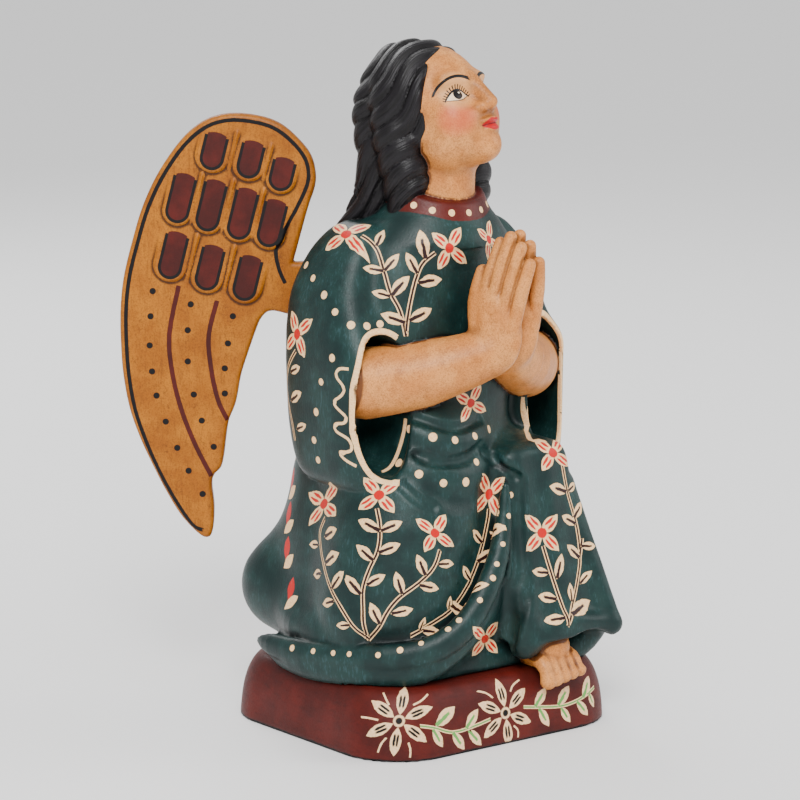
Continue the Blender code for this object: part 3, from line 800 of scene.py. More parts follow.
class Canvas:
    """A mesh to be painted: each triangle takes the coordinates of the motif nearest to it."""

    BLANK = 9.0

    def __init__(self, points, triangles, normals):
        self.corners = points[triangles]
        self.middles = self.corners.mean(1)
        self.corner_normals = normals[triangles]
        self.normals = unit(self.corner_normals.mean(1))
        self.tree = BVHTree.FromPolygons(points.tolist(), triangles.tolist())
        self.layers = {}
        self.nearest = {}

    def layer(self, name):
        if name not in self.layers:
            self.layers[name] = np.full(self.corners.shape, self.BLANK)
            self.nearest[name] = np.full(len(self.corners), self.BLANK)
        return self.layers[name]

    def store(self, name, rows, values, outside):
        """Keeps a motif's coordinates on the triangles that lie nearer to it than to another."""
        layer = self.layer(name)
        better = outside < self.nearest[name][rows]
        layer[rows[better]] = values[better]
        self.nearest[name][rows[better]] = outside[better]

    def facing(self, place):
        """The mean normal around a place."""
        away = np.linalg.norm(self.middles - place, axis=1)
        weight = np.exp(-(away / 4.0) ** 2)
        normal = (self.normals * weight[:, None]).sum(0)
        return normal / max(np.linalg.norm(normal), 1e-9)

    def look(self, origin, direction):
        place, _, _, _ = self.tree.ray_cast(Vector(origin), Vector(direction))
        return None if place is None else np.array(place)

    def pixel(self, x, y):
        return self.look(CAMERA_PLACE, sight_line(x, y))

    def seen(self, pixels):
        """The places on the skin at the pixels, without those that miss it."""
        places = [self.pixel(*pixel) for pixel in pixels]
        return [place for place in places if place is not None]

    def from_side(self, turn, height):
        """The place seen level from a side, turned so many degrees from the front to the left."""
        angle = math.radians(turn)
        outwards = np.array([math.sin(angle), -math.cos(angle), 0.0])
        return self.look(outwards * 200 + np.array([0, 0, height]), -outwards)

    def snap(self, place):
        """The nearest place on the skin."""
        found, _, _, _ = self.tree.find_nearest(Vector(place))
        return np.array(found)

    def around(self, place, reach, normal, depth):
        """Triangles near a place whose skin faces the same way."""
        offset = self.middles - place
        near = (np.abs(offset) < reach).all(1)
        rows = np.flatnonzero(near)
        level = np.abs(offset[rows] @ normal) < depth
        return rows[level & (self.normals[rows] @ normal > 0.15)]

    def flower(self, centre, tips, towards=None):
        """A flower with a petal to each tip, laid on the skin or seen whole from a direction."""
        facing = self.facing(centre)
        normal = facing if towards is None else towards
        one, two = plane_axes(normal)
        flat = np.array([((tip - centre) @ one, (tip - centre) @ two) for tip in tips])
        flat = flat[np.argsort(np.arctan2(flat[:, 1], flat[:, 0]))]
        size = np.linalg.norm(flat, axis=1).mean()
        angles = 2 * np.pi * np.arange(len(tips)) / len(tips)
        ideal = np.stack([np.cos(angles), np.sin(angles)], axis=1)
        stretch, _, _, _ = np.linalg.lstsq(flat, ideal, rcond=None)
        reach = size * (1.3 if towards is None else 2.2) + 3
        rows = self.around(centre, reach, facing, size * 0.6 + 2)
        offset = self.corners[rows] - centre
        x, y = offset @ one, offset @ two
        place = np.stack([x, y], axis=-1) @ stretch
        outside = np.maximum(0, np.hypot(x.mean(1), y.mean(1)) - size)
        self.store("flower", rows, np.concatenate([place, 0 * x[..., None]], axis=-1), outside)

    def leaf(self, base, tip, name="leaf"):
        """A pointed blade from base to tip: the share along it, and how far across it."""
        middle = (base + tip) / 2
        normal = self.facing(middle)
        along = tip - base
        length = np.linalg.norm(along)
        along = along / length
        across = np.cross(normal, along)
        rows = self.around(middle, length / 2 + 3, normal, 5.0)
        offset = self.corners[rows] - base
        t, v = offset @ along / length, offset @ across / length
        mean_t, mean_v = t.mean(1), v.mean(1)
        outside = np.maximum(np.abs(mean_t - 0.5) - 0.5, np.abs(mean_v) - 0.25) * length
        self.store(name, rows, np.stack([t, v, 0 * t], axis=-1), outside)

    def dot(self, centre, radius):
        normal = self.facing(centre)
        one, two = plane_axes(normal)
        rows = self.around(centre, radius + 3, normal, radius + 2)
        offset = self.corners[rows] - centre
        place = np.stack([offset @ one, offset @ two, 0 * offset[..., 0]], axis=-1) / radius
        outside = np.linalg.norm(self.middles[rows] - centre, axis=1) - radius
        self.store("dot", rows, place, outside)

    def stroke(self, path, half_width, name="stem"):
        """A brush line: how far across it in half widths, the share along it, and how far past its end."""
        path, _ = curve_through(path, 4)
        reach = half_width + 3
        rows = np.flatnonzero(np.all((self.middles > path.min(0) - reach)
                                     & (self.middles < path.max(0) + reach), axis=1))
        points = self.corners[rows].reshape(-1, 3)
        normals = self.corner_normals[rows].reshape(-1, 3)
        best = np.full(len(points), np.inf)
        values = np.full((len(points), 3), self.BLANK)
        height = np.full(len(points), self.BLANK)
        lengths = np.linalg.norm(np.diff(path, axis=0), axis=1)
        total = lengths.sum()
        done = 0.0
        for k, (a, b, length) in enumerate(zip(path, path[1:], lengths)):
            along = (b - a) / max(length, 1e-9)
            place = (points - a) @ along
            t = np.clip(place, 0, length)
            offset = points - a - t[:, None] * along
            distance = np.linalg.norm(offset, axis=1)
            side = unit(np.cross(along, normals))
            across = (offset * side).sum(1)
            before = -place if k == 0 else 0 * place
            after = place - length if k == len(lengths) - 1 else 0 * place
            closer = distance < best
            best[closer] = distance[closer]
            beyond = np.maximum(before, after)
            values[closer] = np.column_stack([across / half_width, (done + t) / total, beyond])[closer]
            height[closer] = np.abs((offset * normals).sum(1))[closer]
            done += length
        values = values.reshape(-1, 3, 3)
        low = height.reshape(-1, 3).max(1) < 2.5
        outside = best.reshape(-1, 3).mean(1) - half_width
        self.store(name, rows[low], values[low], outside[low])


# Painted motifs, as places in the photograph (x right, y down)

FLOWERS = [
    ((346, 234), [(333, 222), (372, 220), (330, 249), (367, 256)]),
    ((449.5, 248), [(430, 236), (460, 230), (438, 271), (465, 265)]),
    ((489, 239.5), [(476, 229), (490, 222), (488, 261), (499, 248)]),
    ((297, 334), [(292, 311), (315, 322), (286, 352), (304, 356)]),
    ((471, 403), [(480, 385), (453, 396), (461, 423), (483, 413)]),
    ((324, 504), [(339, 483), (314, 495), (311, 526), (338, 517)]),
    ((379, 495), [(363, 481), (401, 484), (360, 513), (393, 514)]),
    ((435, 533), [(415, 520), (446, 517), (425, 553), (453, 548)]),
    ((489, 494), [(480, 474), (507, 481), (476, 515), (497, 515)]),
    ((485, 639), [(472, 627), (499, 626), (473, 658), (498, 657)]),
    ((542, 533), [(522, 515), (558, 518), (527, 553), (556, 551)]),
    ((553, 453), [(531, 446), (546, 472), (567, 471), (566, 443)])]

STEMS = [
    [(362, 236), (376, 248), (384, 271), (390, 292), (400, 311), (406, 336)],
    [(435, 253), (423, 263), (416, 279), (411, 299), (407, 322), (406, 336)],
    [(295.5, 351), (288.5, 366), (287, 382), (288.5, 402), (292, 422), (295, 440)],
    [(325, 518), (320, 532), (321, 550), (324, 566), (331, 589), (343, 611), (352, 625), (369, 639)],
    [(377, 509), (380, 528), (378, 550), (369, 570), (363, 589), (363, 611), (367, 638)],
    [(440, 550), (434, 567), (419, 583), (400, 597), (388, 611), (378, 629), (369, 639)],
    [(489, 508), (484, 538), (476, 566), (467, 587), (450, 611), (426, 627), (410, 636)],
    [(543, 546), (549, 566), (557, 591), (566, 614), (569, 626)],
    [(562, 463), (567, 490), (576, 523), (580, 556), (577, 583), (572, 609), (568, 626)],
    [(580, 556), (582, 538), (588, 516)]]

LEAVES = [
    ((376, 246), (384, 230)), ((384, 271), (399, 254)), ((384, 271), (363, 268)),
    ((391, 296), (409, 276)), ((391, 296), (372, 292)), ((406, 323), (381, 314)),
    ((426, 259), (420, 230)), ((418, 274), (406, 253)), ((418, 283), (442, 279)),
    ((409, 321), (432, 309)), ((288.5, 373), (301, 366)), ((289, 402), (302, 391)),
    ((295, 430), (307, 424)), ((322, 538), (338, 528)), ((321, 545), (308, 544)),
    ((323, 564), (339, 552)), ((325, 573), (310, 575)), ((331, 589), (343, 571)),
    ((335, 601), (321, 604)), ((350, 625), (336, 626)), ((380, 531), (358, 520)),
    ((380, 531), (402, 522)), ((378, 553), (400, 544)), ((374, 561), (356, 545)),
    ((366, 585), (385, 575)), ((361, 595), (344, 575)), ((426, 576), (417, 555)),
    ((438, 564), (454, 564)), ((419, 585), (439, 589)), ((402, 595), (396, 572)),
    ((391, 614), (413, 609)), ((380, 625), (370, 603)), ((482, 543), (472, 530)),
    ((484, 537), (503, 525)), ((478, 563), (496, 549)), ((471, 581), (462, 566)),
    ((468, 592), (486, 582)), ((449, 611), (450, 596)), ((450, 613), (470, 609)),
    ((420, 631), (425, 617)), ((421, 632), (441, 631)), ((549, 573), (532, 571)),
    ((557, 579), (562, 554)), ((557, 599), (538, 596)), ((566, 618), (544, 621)),
    ((567, 492), (550, 486)), ((568, 492), (576, 482)), ((575, 518), (582, 502)),
    ((576, 524), (562, 516)), ((580, 558), (567, 545)), ((582, 546), (596, 546)),
    ((579, 584), (591, 571)), ((572, 602), (570, 583)), ((571, 615), (589, 601))]

DOTS = [
    (306, 265), (313, 278), (324, 295), (335, 312), (351, 325), (367, 326), (380, 324), (332, 358),
    (321, 382), (316, 412), (314, 440), (318, 460), (409, 429), (433, 437), (455, 440), (475, 436),
    (489, 429), (399, 463), (419, 474), (443.5, 483), (466, 482), (476.5, 462)]
HEM_DOTS = [
    (292, 648), (313, 651),
    (333, 653), (349, 654), (378, 655), (400, 650), (421, 643), (448, 629), (459, 620), (480, 600),
    (493, 578), (497, 564), (503, 544), (509, 516), (511, 495)]

WAVE = [(348, 369), (339, 369), (336, 376), (344, 388), (341, 396), (334, 401), (336, 407), (346, 417),
        (344, 423), (335, 424), (336, 431), (348, 439), (352, 448), (348, 452), (340, 452),
        (343, 458), (356, 466)]
# Pairs of a red drop and a cream leaf on the near side: each pair's place
TONGUE_PAIRS = [(293, 482), (290, 516), (289, 551), (293, 592)]
# Each one's two ends beside that place, as (right, up) in millimetres
TONGUES = [("red_tongue", [(-2.4, -4.5), (-2.0, 6.8)]), ("cream_tongue", [(-3.6, -9.0), (4.6, -1.0)])]

DOT_RADIUS = 1.9
HEM_DOT_RADIUS = 1.45
STEM_HALF_WIDTH = 1.05
WAVE_HALF_WIDTH = 0.7

# Skin that faces the camera less than this takes its flowers flat, but for those in small hollows
LEAST_FACING = 0.62
WHOLE_FLOWERS = [(471, 403), (485, 639)]


def on_plane(pixel, place, normal):
    ray = sight_line(*pixel)
    return CAMERA_PLACE + ray * ((place - CAMERA_PLACE) @ normal) / (ray @ normal)


def petal_tips(canvas, place, tips):
    """The petals' tips on the skin, none much longer than the rest."""
    normal = canvas.facing(place)
    reach = []
    for tip in tips:
        seen = canvas.pixel(*tip)
        flat = on_plane(tip, place, normal)
        reach.append((flat if seen is None or math.dist(seen, flat) > 5.0 else seen) - place)
    reach = np.array(reach)
    lengths = np.linalg.norm(reach, axis=1)
    share = np.minimum(1.0, 1.2 * np.median(lengths) / lengths)
    return list(place + reach * share[:, None])


def leaf_ends(canvas, middle, base, tip):
    """A leaf's two ends on the skin, kept near their length in the photograph."""
    normal = canvas.facing(middle)
    ends = np.array([on_plane(base, middle, normal), on_plane(tip, middle, normal)])
    seen = math.dist(base, tip) * CAMERA_DISTANCE / CAMERA_FOCUS
    share = min(1.0, 1.45 * seen / np.linalg.norm(ends[1] - ends[0]))
    return middle + (ends - middle) * share


def paint_from_photo(canvas):
    """Puts the front's motifs where the photograph's camera sees them."""
    for centre, tips in FLOWERS:
        place = canvas.pixel(*centre)
        if place is None:
            continue
        if centre in WHOLE_FLOWERS or canvas.facing(place) @ CAMERA_BACK > LEAST_FACING:
            canvas.flower(place, [on_plane(tip, place, CAMERA_BACK) for tip in tips], CAMERA_BACK)
        else:
            canvas.flower(place, petal_tips(canvas, place, tips))
    for stem in STEMS:
        path = canvas.seen(stem)
        if len(path) > 1:
            canvas.stroke(path, STEM_HALF_WIDTH)
    for base, tip in LEAVES:
        middle = canvas.pixel((base[0] + tip[0]) / 2, (base[1] + tip[1]) / 2)
        if middle is not None:
            canvas.leaf(*leaf_ends(canvas, middle, base, tip))
    for dots, radius in ((DOTS, DOT_RADIUS), (HEM_DOTS, HEM_DOT_RADIUS)):
        for place in canvas.seen(dots):
            canvas.dot(place, radius * random.uniform(0.88, 1.12))
    canvas.stroke(canvas.seen(WAVE), WAVE_HALF_WIDTH, name="wave")
    for place in canvas.seen(TONGUE_PAIRS):
        right, up = level_axes(canvas.facing(place))
        for name, ends in TONGUES:
            canvas.leaf(*[canvas.snap(place + right * a + up * b) for a, b in ends], name)


def level_axes(normal):
    """The directions to the right and up on a skin that faces the normal."""
    up = np.array([0, 0, 1.0]) - normal * normal[2]
    up /= np.linalg.norm(up)
    return np.cross(up, normal), up


INNER_RIMS = {-1: [(381, 472), (390, 467), (396, 457), (401, 443), (404.5, 428), (405.5, 419)],
              1: [(546, 441), (531, 440), (527, 425), (523, 408), (521, 392)]}


def paint_sleeve_rims(canvas):
    """A cream line along each sleeve's opening, from its top round the outside to the lap."""
    for side in (-1, 1):
        ring = []
        for degrees in range(62, 284, 6):
            c, s = math.cos(math.radians(degrees)), math.sin(math.radians(degrees))
            x = (SLEEVE_HALF_WIDTH - SLEEVE_WALL + 1.7) * math.copysign(abs(c) ** (2 / 2.4), c)
            z = (SLEEVE_HOLLOW_HALF_HEIGHT + 1.8) * math.copysign(abs(s) ** (2 / 2.4), s)
            point = np.array([side * (SLEEVE_MIDDLE[side] - 1.0 - x), SLEEVE_FRONT - 12,
                              SLEEVE_HOLLOW_MIDDLE + z + FIGURE_FOOT])
            place = canvas.look(point, np.array([0, 1.0, 0]))
            if place is not None and abs(place[1] - SLEEVE_FRONT) < 9:
                ring.append(place)
        canvas.stroke(ring, 1.3, name="wave")
        canvas.stroke(canvas.seen(INNER_RIMS[side]), 1.2, name="wave")


# A sprig for the sides that the photograph doesn't show: (right, up) in millimetres
SPRIG_MIDDLE = 22
SPRIG_STEM = [(0, 0), (1.5, 9), (0.5, 18), (-1.5, 27), (-1, 35)]
SPRIG_LEAVES = [((1, 6), (8, 10)), ((1.2, 10), (-6, 14)), ((0.8, 15), (8, 20)), ((0.3, 19), (-7, 23)),
                ((-0.8, 24), (6, 29)), ((-1.2, 27), (-8, 31))]
SPRIG_FLOWER = [(-1, 43), (-7.5, 37.5), (5.5, 37), (-8, 49), (6, 49.5)]
# Each hidden sprig: (turn from the front towards the figure's left, height, size, lean)
SPRIGS = [(97, 166, 1.25, 6), (70, 64, 1.05, -4), (86, 56, 1.15, 6), (108, 66, 1.3, -6), (131, 62, 1.2, 7),
          (153, 66, 1.25, -5), (180, 66, 1.2, 5), (203, 74, 1.05, -6), (180, 160, 1.2, 0),
          (128, 150, 1.2, -8), (236, 150, 1.2, 8)]
HIDDEN_DOTS = [(turn, 41) for turn in range(60, 204, 6)] + [(turn, 126) for turn in range(146, 216, 6)]
HIDDEN_DOTS += [(118, 205), (116, 193), (115, 181), (114, 169), (72, 176), (76, 164), (78, 151)]


def paint_hidden_sides(canvas):
    """Plainer sprigs and dots on the back and the far side."""
    for turn, height, size, lean in SPRIGS:
        place = canvas.from_side(turn, height)
        if place is None:
            continue
        right, up = level_axes(canvas.facing(place))
        tilt = math.radians(lean)
        up, right = up * math.cos(tilt) + right * math.sin(tilt), right * math.cos(tilt) - up * math.sin(tilt)

        def at(spot):
            return canvas.snap(place + (right * spot[0] + up * (spot[1] - SPRIG_MIDDLE)) * size)

        canvas.stroke([at(p) for p in SPRIG_STEM], STEM_HALF_WIDTH)
        for base, tip in SPRIG_LEAVES:
            canvas.leaf(at(base), at(tip))
        canvas.flower(at(SPRIG_FLOWER[0]), [at(p) for p in SPRIG_FLOWER[1:]])
    for turn, height in HIDDEN_DOTS:
        place = canvas.from_side(turn, height)
        if place is not None:
            canvas.dot(place, HEM_DOT_RADIUS * random.uniform(0.9, 1.1))


def paint_collar(canvas):
    """Cream dots along the middle of the collar."""
    for k in range(COLLAR_DOTS):
        angle = 2 * math.pi * (k + 0.1) / COLLAR_DOTS
        y = 22.0 * math.sin(angle)
        height = COLLAR_HEIGHT + COLLAR_SLOPE * y + 4.4 + FIGURE_FOOT
        canvas.dot(canvas.snap((24.0 * math.cos(angle), COLLAR_MIDDLE + y, height)), 1.6)


# Shader building blocks

class Num:
    """A number in a shader, with the usual operators."""

    def __init__(self, shade, socket):
        self.shade = shade
        self.socket = socket

    def __add__(self, other):
        return self.shade.math("ADD", self, other)

    def __sub__(self, other):
        return self.shade.math("SUBTRACT", self, other)

    def __rsub__(self, other):
        return self.shade.math("SUBTRACT", other, self)

    def __mul__(self, other):
        return self.shade.math("MULTIPLY", self, other)


class Shade:
    """Builds one painted material."""

    def __init__(self, name):
        self.material = bpy.data.materials.new(name)
        self.material.use_nodes = True
        self.tree = self.material.node_tree
        self.surface = self.tree.nodes["Principled BSDF"]

    def put(self, socket, value):
        if isinstance(value, Num):
            self.tree.links.new(value.socket, socket)
        elif isinstance(value, bpy.types.NodeSocket):
            self.tree.links.new(value, socket)
        elif isinstance(value, tuple) and socket.type == "RGBA":
            socket.default_value = (*value, 1.0)
        else:
            socket.default_value = value

    def math(self, operation, *values):
        node = self.tree.nodes.new("ShaderNodeMath")
        node.operation = operation
        for socket, value in zip(node.inputs, values):
            self.put(socket, value)
        return Num(self, node.outputs[0])

    def absolute(self, value):
        return self.math("ABSOLUTE", value)

    def length(self, x, y):
        return self.math("SQRT", x * x + y * y)

    def ramp(self, value, low, high):
        """0 at low, 1 at high, eased between; low may be above high."""
        node = self.tree.nodes.new("ShaderNodeMapRange")
        node.interpolation_type = "SMOOTHSTEP"
        ends = (high, low, 1.0, 0.0) if low > high else (low, high, 0.0, 1.0)
        self.put(node.inputs["Value"], value)
        for name, end in zip(("From Min", "From Max", "To Min", "To Max"), ends):
            self.put(node.inputs[name], end)
        return Num(self, node.outputs["Result"])

    def under(self, value, limit, blur):
        """1 where value is under the limit."""
        return self.ramp(value, limit + blur, limit - blur)

    def split(self, vector):
        node = self.tree.nodes.new("ShaderNodeSeparateXYZ")
        self.tree.links.new(vector, node.inputs[0])
        return [Num(self, socket) for socket in node.outputs]

    def parts(self, name):
        """The three numbers of a mesh attribute."""
        node = self.tree.nodes.new("ShaderNodeAttribute")
        node.attribute_name = name
        return self.split(node.outputs["Vector"])

    def line(self, name, wobble, past=0.3):
        """Distance across a brush line in half widths, and 1 as far as its ends."""
        across, _, beyond = self.parts(name)
        return self.absolute(across + wobble), self.under(beyond, past, 0.1)

    def place(self, stretch=(1, 1, 1)):
        """The object's own coordinates in millimetres."""
        node = self.tree.nodes.new("ShaderNodeTexCoord")
        scale = self.tree.nodes.new("ShaderNodeVectorMath")
        scale.operation = "MULTIPLY"
        self.tree.links.new(node.outputs["Object"], scale.inputs[0])
        scale.inputs[1].default_value = [s / MM for s in stretch]
        return scale.outputs[0]

    def noise(self, size, detail, roughness, stretch=(1, 1, 1), distortion=0.0, at=None):
        """A cloudy number, about 0 to 1, whose patches are size millimetres wide."""
        node = self.tree.nodes.new("ShaderNodeTexNoise")
        self.put(node.inputs["Vector"], self.place(stretch) if at is None else at)
        node.inputs["Scale"].default_value = 1.0 / size
        node.inputs["Detail"].default_value = detail
        node.inputs["Roughness"].default_value = roughness
        node.inputs["Distortion"].default_value = distortion
        return Num(self, node.outputs["Fac"])

    def vector(self, x, y, z):
        node = self.tree.nodes.new("ShaderNodeCombineXYZ")
        for socket, value in zip(node.inputs, (x, y, z)):
            self.put(socket, value)
        return node.outputs[0]

    def mix(self, share, low, high):
        node = self.tree.nodes.new("ShaderNodeMix")
        node.data_type = "RGBA"
        self.put(node.inputs["Factor"], share)
        self.put(node.inputs[6], low)
        self.put(node.inputs[7], high)
        return node.outputs[2]

    def finish(self, colour, specular, roughness, height, depth):
        """Joins the paint to the surface; height times depth in millimetres is its bump."""
        bump = self.tree.nodes.new("ShaderNodeBump")
        bump.inputs["Strength"].default_value = 1.0
        bump.inputs["Distance"].default_value = depth * MM
        self.put(bump.inputs["Height"], height)
        self.put(self.surface.inputs["Base Color"], colour)
        self.put(self.surface.inputs["Specular IOR Level"], specular)
        self.put(self.surface.inputs["Roughness"], roughness)
        self.put(self.surface.inputs["Normal"], bump.outputs[0])
        return self.material


def paint(red, green, blue):
    """A colour given in the picture's 0 to 255 scale, as the shader wants it."""
    return tuple((c / 255 / 12.92) if c < 10.3 else ((c / 255 + 0.055) / 1.055) ** 2.4
                 for c in (red, green, blue))


RED = paint(192, 20, 16)
STEM_DARK = paint(36, 12, 14)
BLACK = paint(9, 7, 8)
LEAF_GREEN = paint(96, 156, 76)
MAROONS = (paint(64, 15, 10), paint(86, 22, 15))


def flower_marks(s, wobble):
    """Masks of a four-petalled flower: petals, red streaks and red centre."""
    x, y, _ = s.parts("flower")
    x = s.absolute(x + wobble)
    y = s.absolute(y + wobble)
    along = s.math("MAXIMUM", x, y)
    across = s.math("MINIMUM", x, y)
    edge = across - along * (1.0 - along) * 0.95
    petals = s.under(edge, 0.012, 0.012)
    middle = s.absolute(along - 0.55)
    streak = s.absolute(across - 0.095) + middle * middle * 0.5
    streaks = s.under(streak, 0.055, 0.014) * s.under(middle, 0.25, 0.05)
    radius = s.length(x, y)
    return petals, streaks, s.under(radius, 0.21, 0.015)


def leaf_marks(s, name, wobble, width=0.84):
    """Masks of a pointed leaf and of its rib."""
    t, v, _ = s.parts(name)
    v = s.absolute(v + wobble)
    blade = s.under(v - t * (1.0 - t) * width, 0.012, 0.012)
    rib = s.under(v + t * 0.04, 0.078, 0.016) * s.under(t, 0.7, 0.04) * s.ramp(t, 0.0, 0.05)
    return blade, rib


def robe_paint(s, brush, cloud, hollow_shade, cream, hand):
    """Dark bottle green with a bluish dry brush along its folds, and the painted sprigs."""
    robe = s.mix(s.ramp(cloud, 0.35, 0.68), paint(12, 34, 33), paint(22, 50, 47))
    robe = s.mix(s.ramp(brush, 0.52, 0.66) * s.ramp(cloud, 0.42, 0.66) * 0.5, robe, paint(50, 80, 84))
    # Painted shade: the hollows darkened to near black
    robe = s.mix(s.ramp(hollow_shade, 0.1, 0.7) * 0.8, robe, paint(4, 10, 11))
    across, near = s.line("stem", hand * 2.0)
    robe = s.mix(s.under(across, 1.0, 0.12) * near, robe, cream)
    robe = s.mix(s.under(across, 0.5, 0.12) * near, robe, STEM_DARK)
    blade, rib = leaf_marks(s, "leaf", hand)
    robe = s.mix(blade, robe, cream)
    robe = s.mix(rib, robe, STEM_DARK)
    blade, _ = leaf_marks(s, "red_tongue", hand, 0.9)
    robe = s.mix(blade, robe, RED)
    blade, _ = leaf_marks(s, "cream_tongue", hand, 0.9)
    robe = s.mix(blade, robe, cream)
    petals, streaks, centre = flower_marks(s, hand)
    robe = s.mix(petals, robe, cream)
    robe = s.mix(s.math("MAXIMUM", streaks, centre), robe, RED)
    across, near = s.line("wave", hand * 1.5)
    robe = s.mix(s.under(across, 1.0, 0.1) * near, robe, cream)
    return robe


def skin_paint(s, cloud, fine, hollow_shade, side, up, on_face):
    """Ochre skin with brown speckle, blushed cheeks, and painted shade about the nose's bridge and in the
    hollows.
    """
    speckle = s.ramp(s.noise(0.75, 6, 0.75), 0.44, 0.66)
    patch = s.ramp(s.noise(7, 5, 0.7), 0.45, 0.7)
    skin = s.mix(s.ramp(cloud, 0.3, 0.7), paint(198, 124, 58), paint(224, 152, 82))
    skin = s.mix(speckle * 0.6, skin, paint(130, 68, 24))
    skin = s.mix(patch * s.ramp(fine, 0.3, 0.6) * 0.6, skin, paint(140, 80, 32))
    cheek = (side - 17.0) * (side - 17.0) + (up + 10.0) * (up + 10.0)
    skin = s.mix(s.ramp(cheek, 130.0, 5.0) * on_face * 0.6, skin, paint(196, 66, 46))
    # Painted shade: darker brown about the nose's bridge and the eye sockets
    bridge = side * side + (up - 3.0) * (up - 3.0) * 0.35
    skin = s.mix(s.ramp(bridge, 60.0, 10.0) * s.ramp(fine, 0.25, 0.6) * on_face * 0.6, skin,
                 paint(128, 76, 34))
    # Painted shade: brown in the hollows, less of it on the face
    skin = s.mix(s.ramp(hollow_shade, 0.05, 0.42) * (0.9 - on_face * 0.45), skin, paint(84, 42, 16))
    return skin


def paint_eyes(s, skin, side, up, on_face):
    """Almond eyes with fans of lashes, under arched brows."""
    x = side - 12.6
    around = x * x + (up - 3.0) * (up - 3.0) * 0.8
    skin = s.mix(s.ramp(around, 110.0, 30.0) * on_face * 0.55, skin, paint(234, 176, 116))
    lid = 3.7 - x * x * 0.088
    low_lid = x * x * 0.035 - 2.0
    white = s.under(up - lid, 0.0, 0.12) * s.ramp(up - low_lid, -0.12, 0.12) * on_face
    skin = s.mix(white, skin, paint(244, 214, 178))
    iris = s.math("SQRT", x * x + (up - 1.1) * (up - 1.1))
    skin = s.mix(s.under(iris, 2.6, 0.12) * white, skin, BLACK)
    glint = s.math("SQRT", (x + 0.8) * (x + 0.8) + (up - 1.9) * (up - 1.9))
    skin = s.mix(s.under(glint, 0.5, 0.1) * white, skin, paint(250, 240, 220))
    wide = s.absolute(x)
    lash_line = s.under(s.absolute(up - lid), 0.55, 0.1) * s.under(wide, 7.2, 0.1)
    low_line = s.under(s.absolute(up - low_lid), 0.2, 0.1) * s.under(wide, 6.4, 0.1)
    fan = s.math("ARCTAN2", x, up + 6.0)
    comb = s.absolute(s.math("FRACT", fan * 7.6 + 20.5) - 0.5)
    above = up - lid
    lashes = s.under(comb, 0.2, 0.05) * s.ramp(above, 0.1, 0.3) * s.under(above, 2.7, 0.2)
    lashes = lashes * s.under(wide, 7.9, 0.2)
    arch = s.math("SQRT", (side - 12.2) * (side - 12.2) * 0.85 + (up + 2.4) * (up + 2.4))
    brow = s.under(s.absolute(arch - 12.6) + side * 0.018, 1.05, 0.12) * s.ramp(up, 3.4, 4.4)
    brow = brow * s.ramp(side, 3.4, 4.4)
    lines = s.math("MAXIMUM", s.math("MAXIMUM", lash_line, low_line), s.math("MAXIMUM", lashes, brow))
    skin = s.mix(lines * on_face, skin, BLACK)
    return skin


def paint_mouth(s, skin, side, front, up):
    """Small red lips with a darker line between them."""
    mouth = up + 17.6
    bow = 3.0 - side * side * 0.07 - s.ramp(side, 1.6, 0.0) * 0.7
    lower = side * side * 0.10 - 3.6
    lips = s.under(mouth - bow, 0.0, 0.12) * s.ramp(mouth - lower, -0.12, 0.12) * s.under(side, 6.6, 0.2)
    lips = lips * s.ramp(front, 16.0, 19.0)
    skin = s.mix(lips, skin, paint(184, 14, 18))
    skin = s.mix(lips * s.under(s.absolute(mouth), 0.35, 0.1), skin, paint(104, 18, 22))
    return skin


def hair_paint(s, comb, hollow_shade, ridge):
    """Near black, with a grey shine along the waves' crests."""
    hair = s.mix(s.ramp(comb, 0.35, 0.65), paint(7, 5, 6), paint(20, 17, 21))
    # Painted sheen: pale grey along the crests of the waves
    hair = s.mix(s.ramp(ridge, 0.45, 0.85) * s.ramp(comb, 0.5, 0.62) * 0.35, hair, paint(54, 54, 68))
    # Painted shade: near black in the hollows
    hair = s.mix(s.ramp(hollow_shade, 0.1, 0.6) * 0.8, hair, paint(5, 4, 5))
    return hair


def make_figure_paint():
    s = Shade("painted_robe")
    hair_edge, flesh_edge, collar_edge = s.parts("piece")
    # How sunk and how exposed the skin is, the masks of painted shade and painted sheen
    hollow_shade, ridge, _ = s.parts("shade_and_sheen")
    brush = s.noise(1.1, 4, 0.6, stretch=(1, 1, 0.25))
    cloud = s.noise(16, 4, 0.6)
    fine = s.noise(0.7, 3, 0.6)
    hand = (s.noise(3.0, 2, 0.5) - 0.5) * 0.09
    worn = s.ramp(s.noise(0.9, 4, 0.7), 0.60, 0.72) * 0.5
    cream = s.mix(worn, s.mix(s.ramp(fine, 0.35, 0.7), paint(252, 212, 158), paint(238, 184, 124)),
                  paint(190, 126, 74))
    robe = robe_paint(s, brush, cloud, hollow_shade, cream, hand)
    collar = s.mix(s.ramp(cloud, 0.3, 0.7), *MAROONS)
    robe = s.mix(s.ramp(collar_edge, -0.05, 0.12), robe, collar)
    x, y, _ = s.parts("dot")
    radius = s.length(x, y) + hand * 3.0
    robe = s.mix(s.under(radius, 1.0, 0.08), robe, cream)

    left, front, up = s.parts("head")
    side = s.absolute(left)
    on_face = s.ramp(front, 4.0, 9.0)
    skin = skin_paint(s, cloud, fine, hollow_shade, side, up, on_face)
    skin = paint_eyes(s, skin, side, up, on_face)
    skin = paint_mouth(s, skin, side, front, up)

    across, along, _ = s.parts("strand")
    comb = s.noise(1.0, 2, 0.6, at=s.vector(across * 0.62, along * 0.035, 0.0))
    is_hair = s.ramp(hair_edge, -0.06, 0.10)
    whole = s.mix(s.ramp(flesh_edge, -0.06, 0.10), robe, skin)
    whole = s.mix(is_hair, whole, hair_paint(s, comb, hollow_shade, ridge))
    height = brush * 0.09 + fine * 0.07 + is_hair * comb * 0.85
    return s.finish(whole, 0.26, s.ramp(fine, 0.2, 0.8) * 0.16 + 0.34, height, 1.0)


# Building the figure

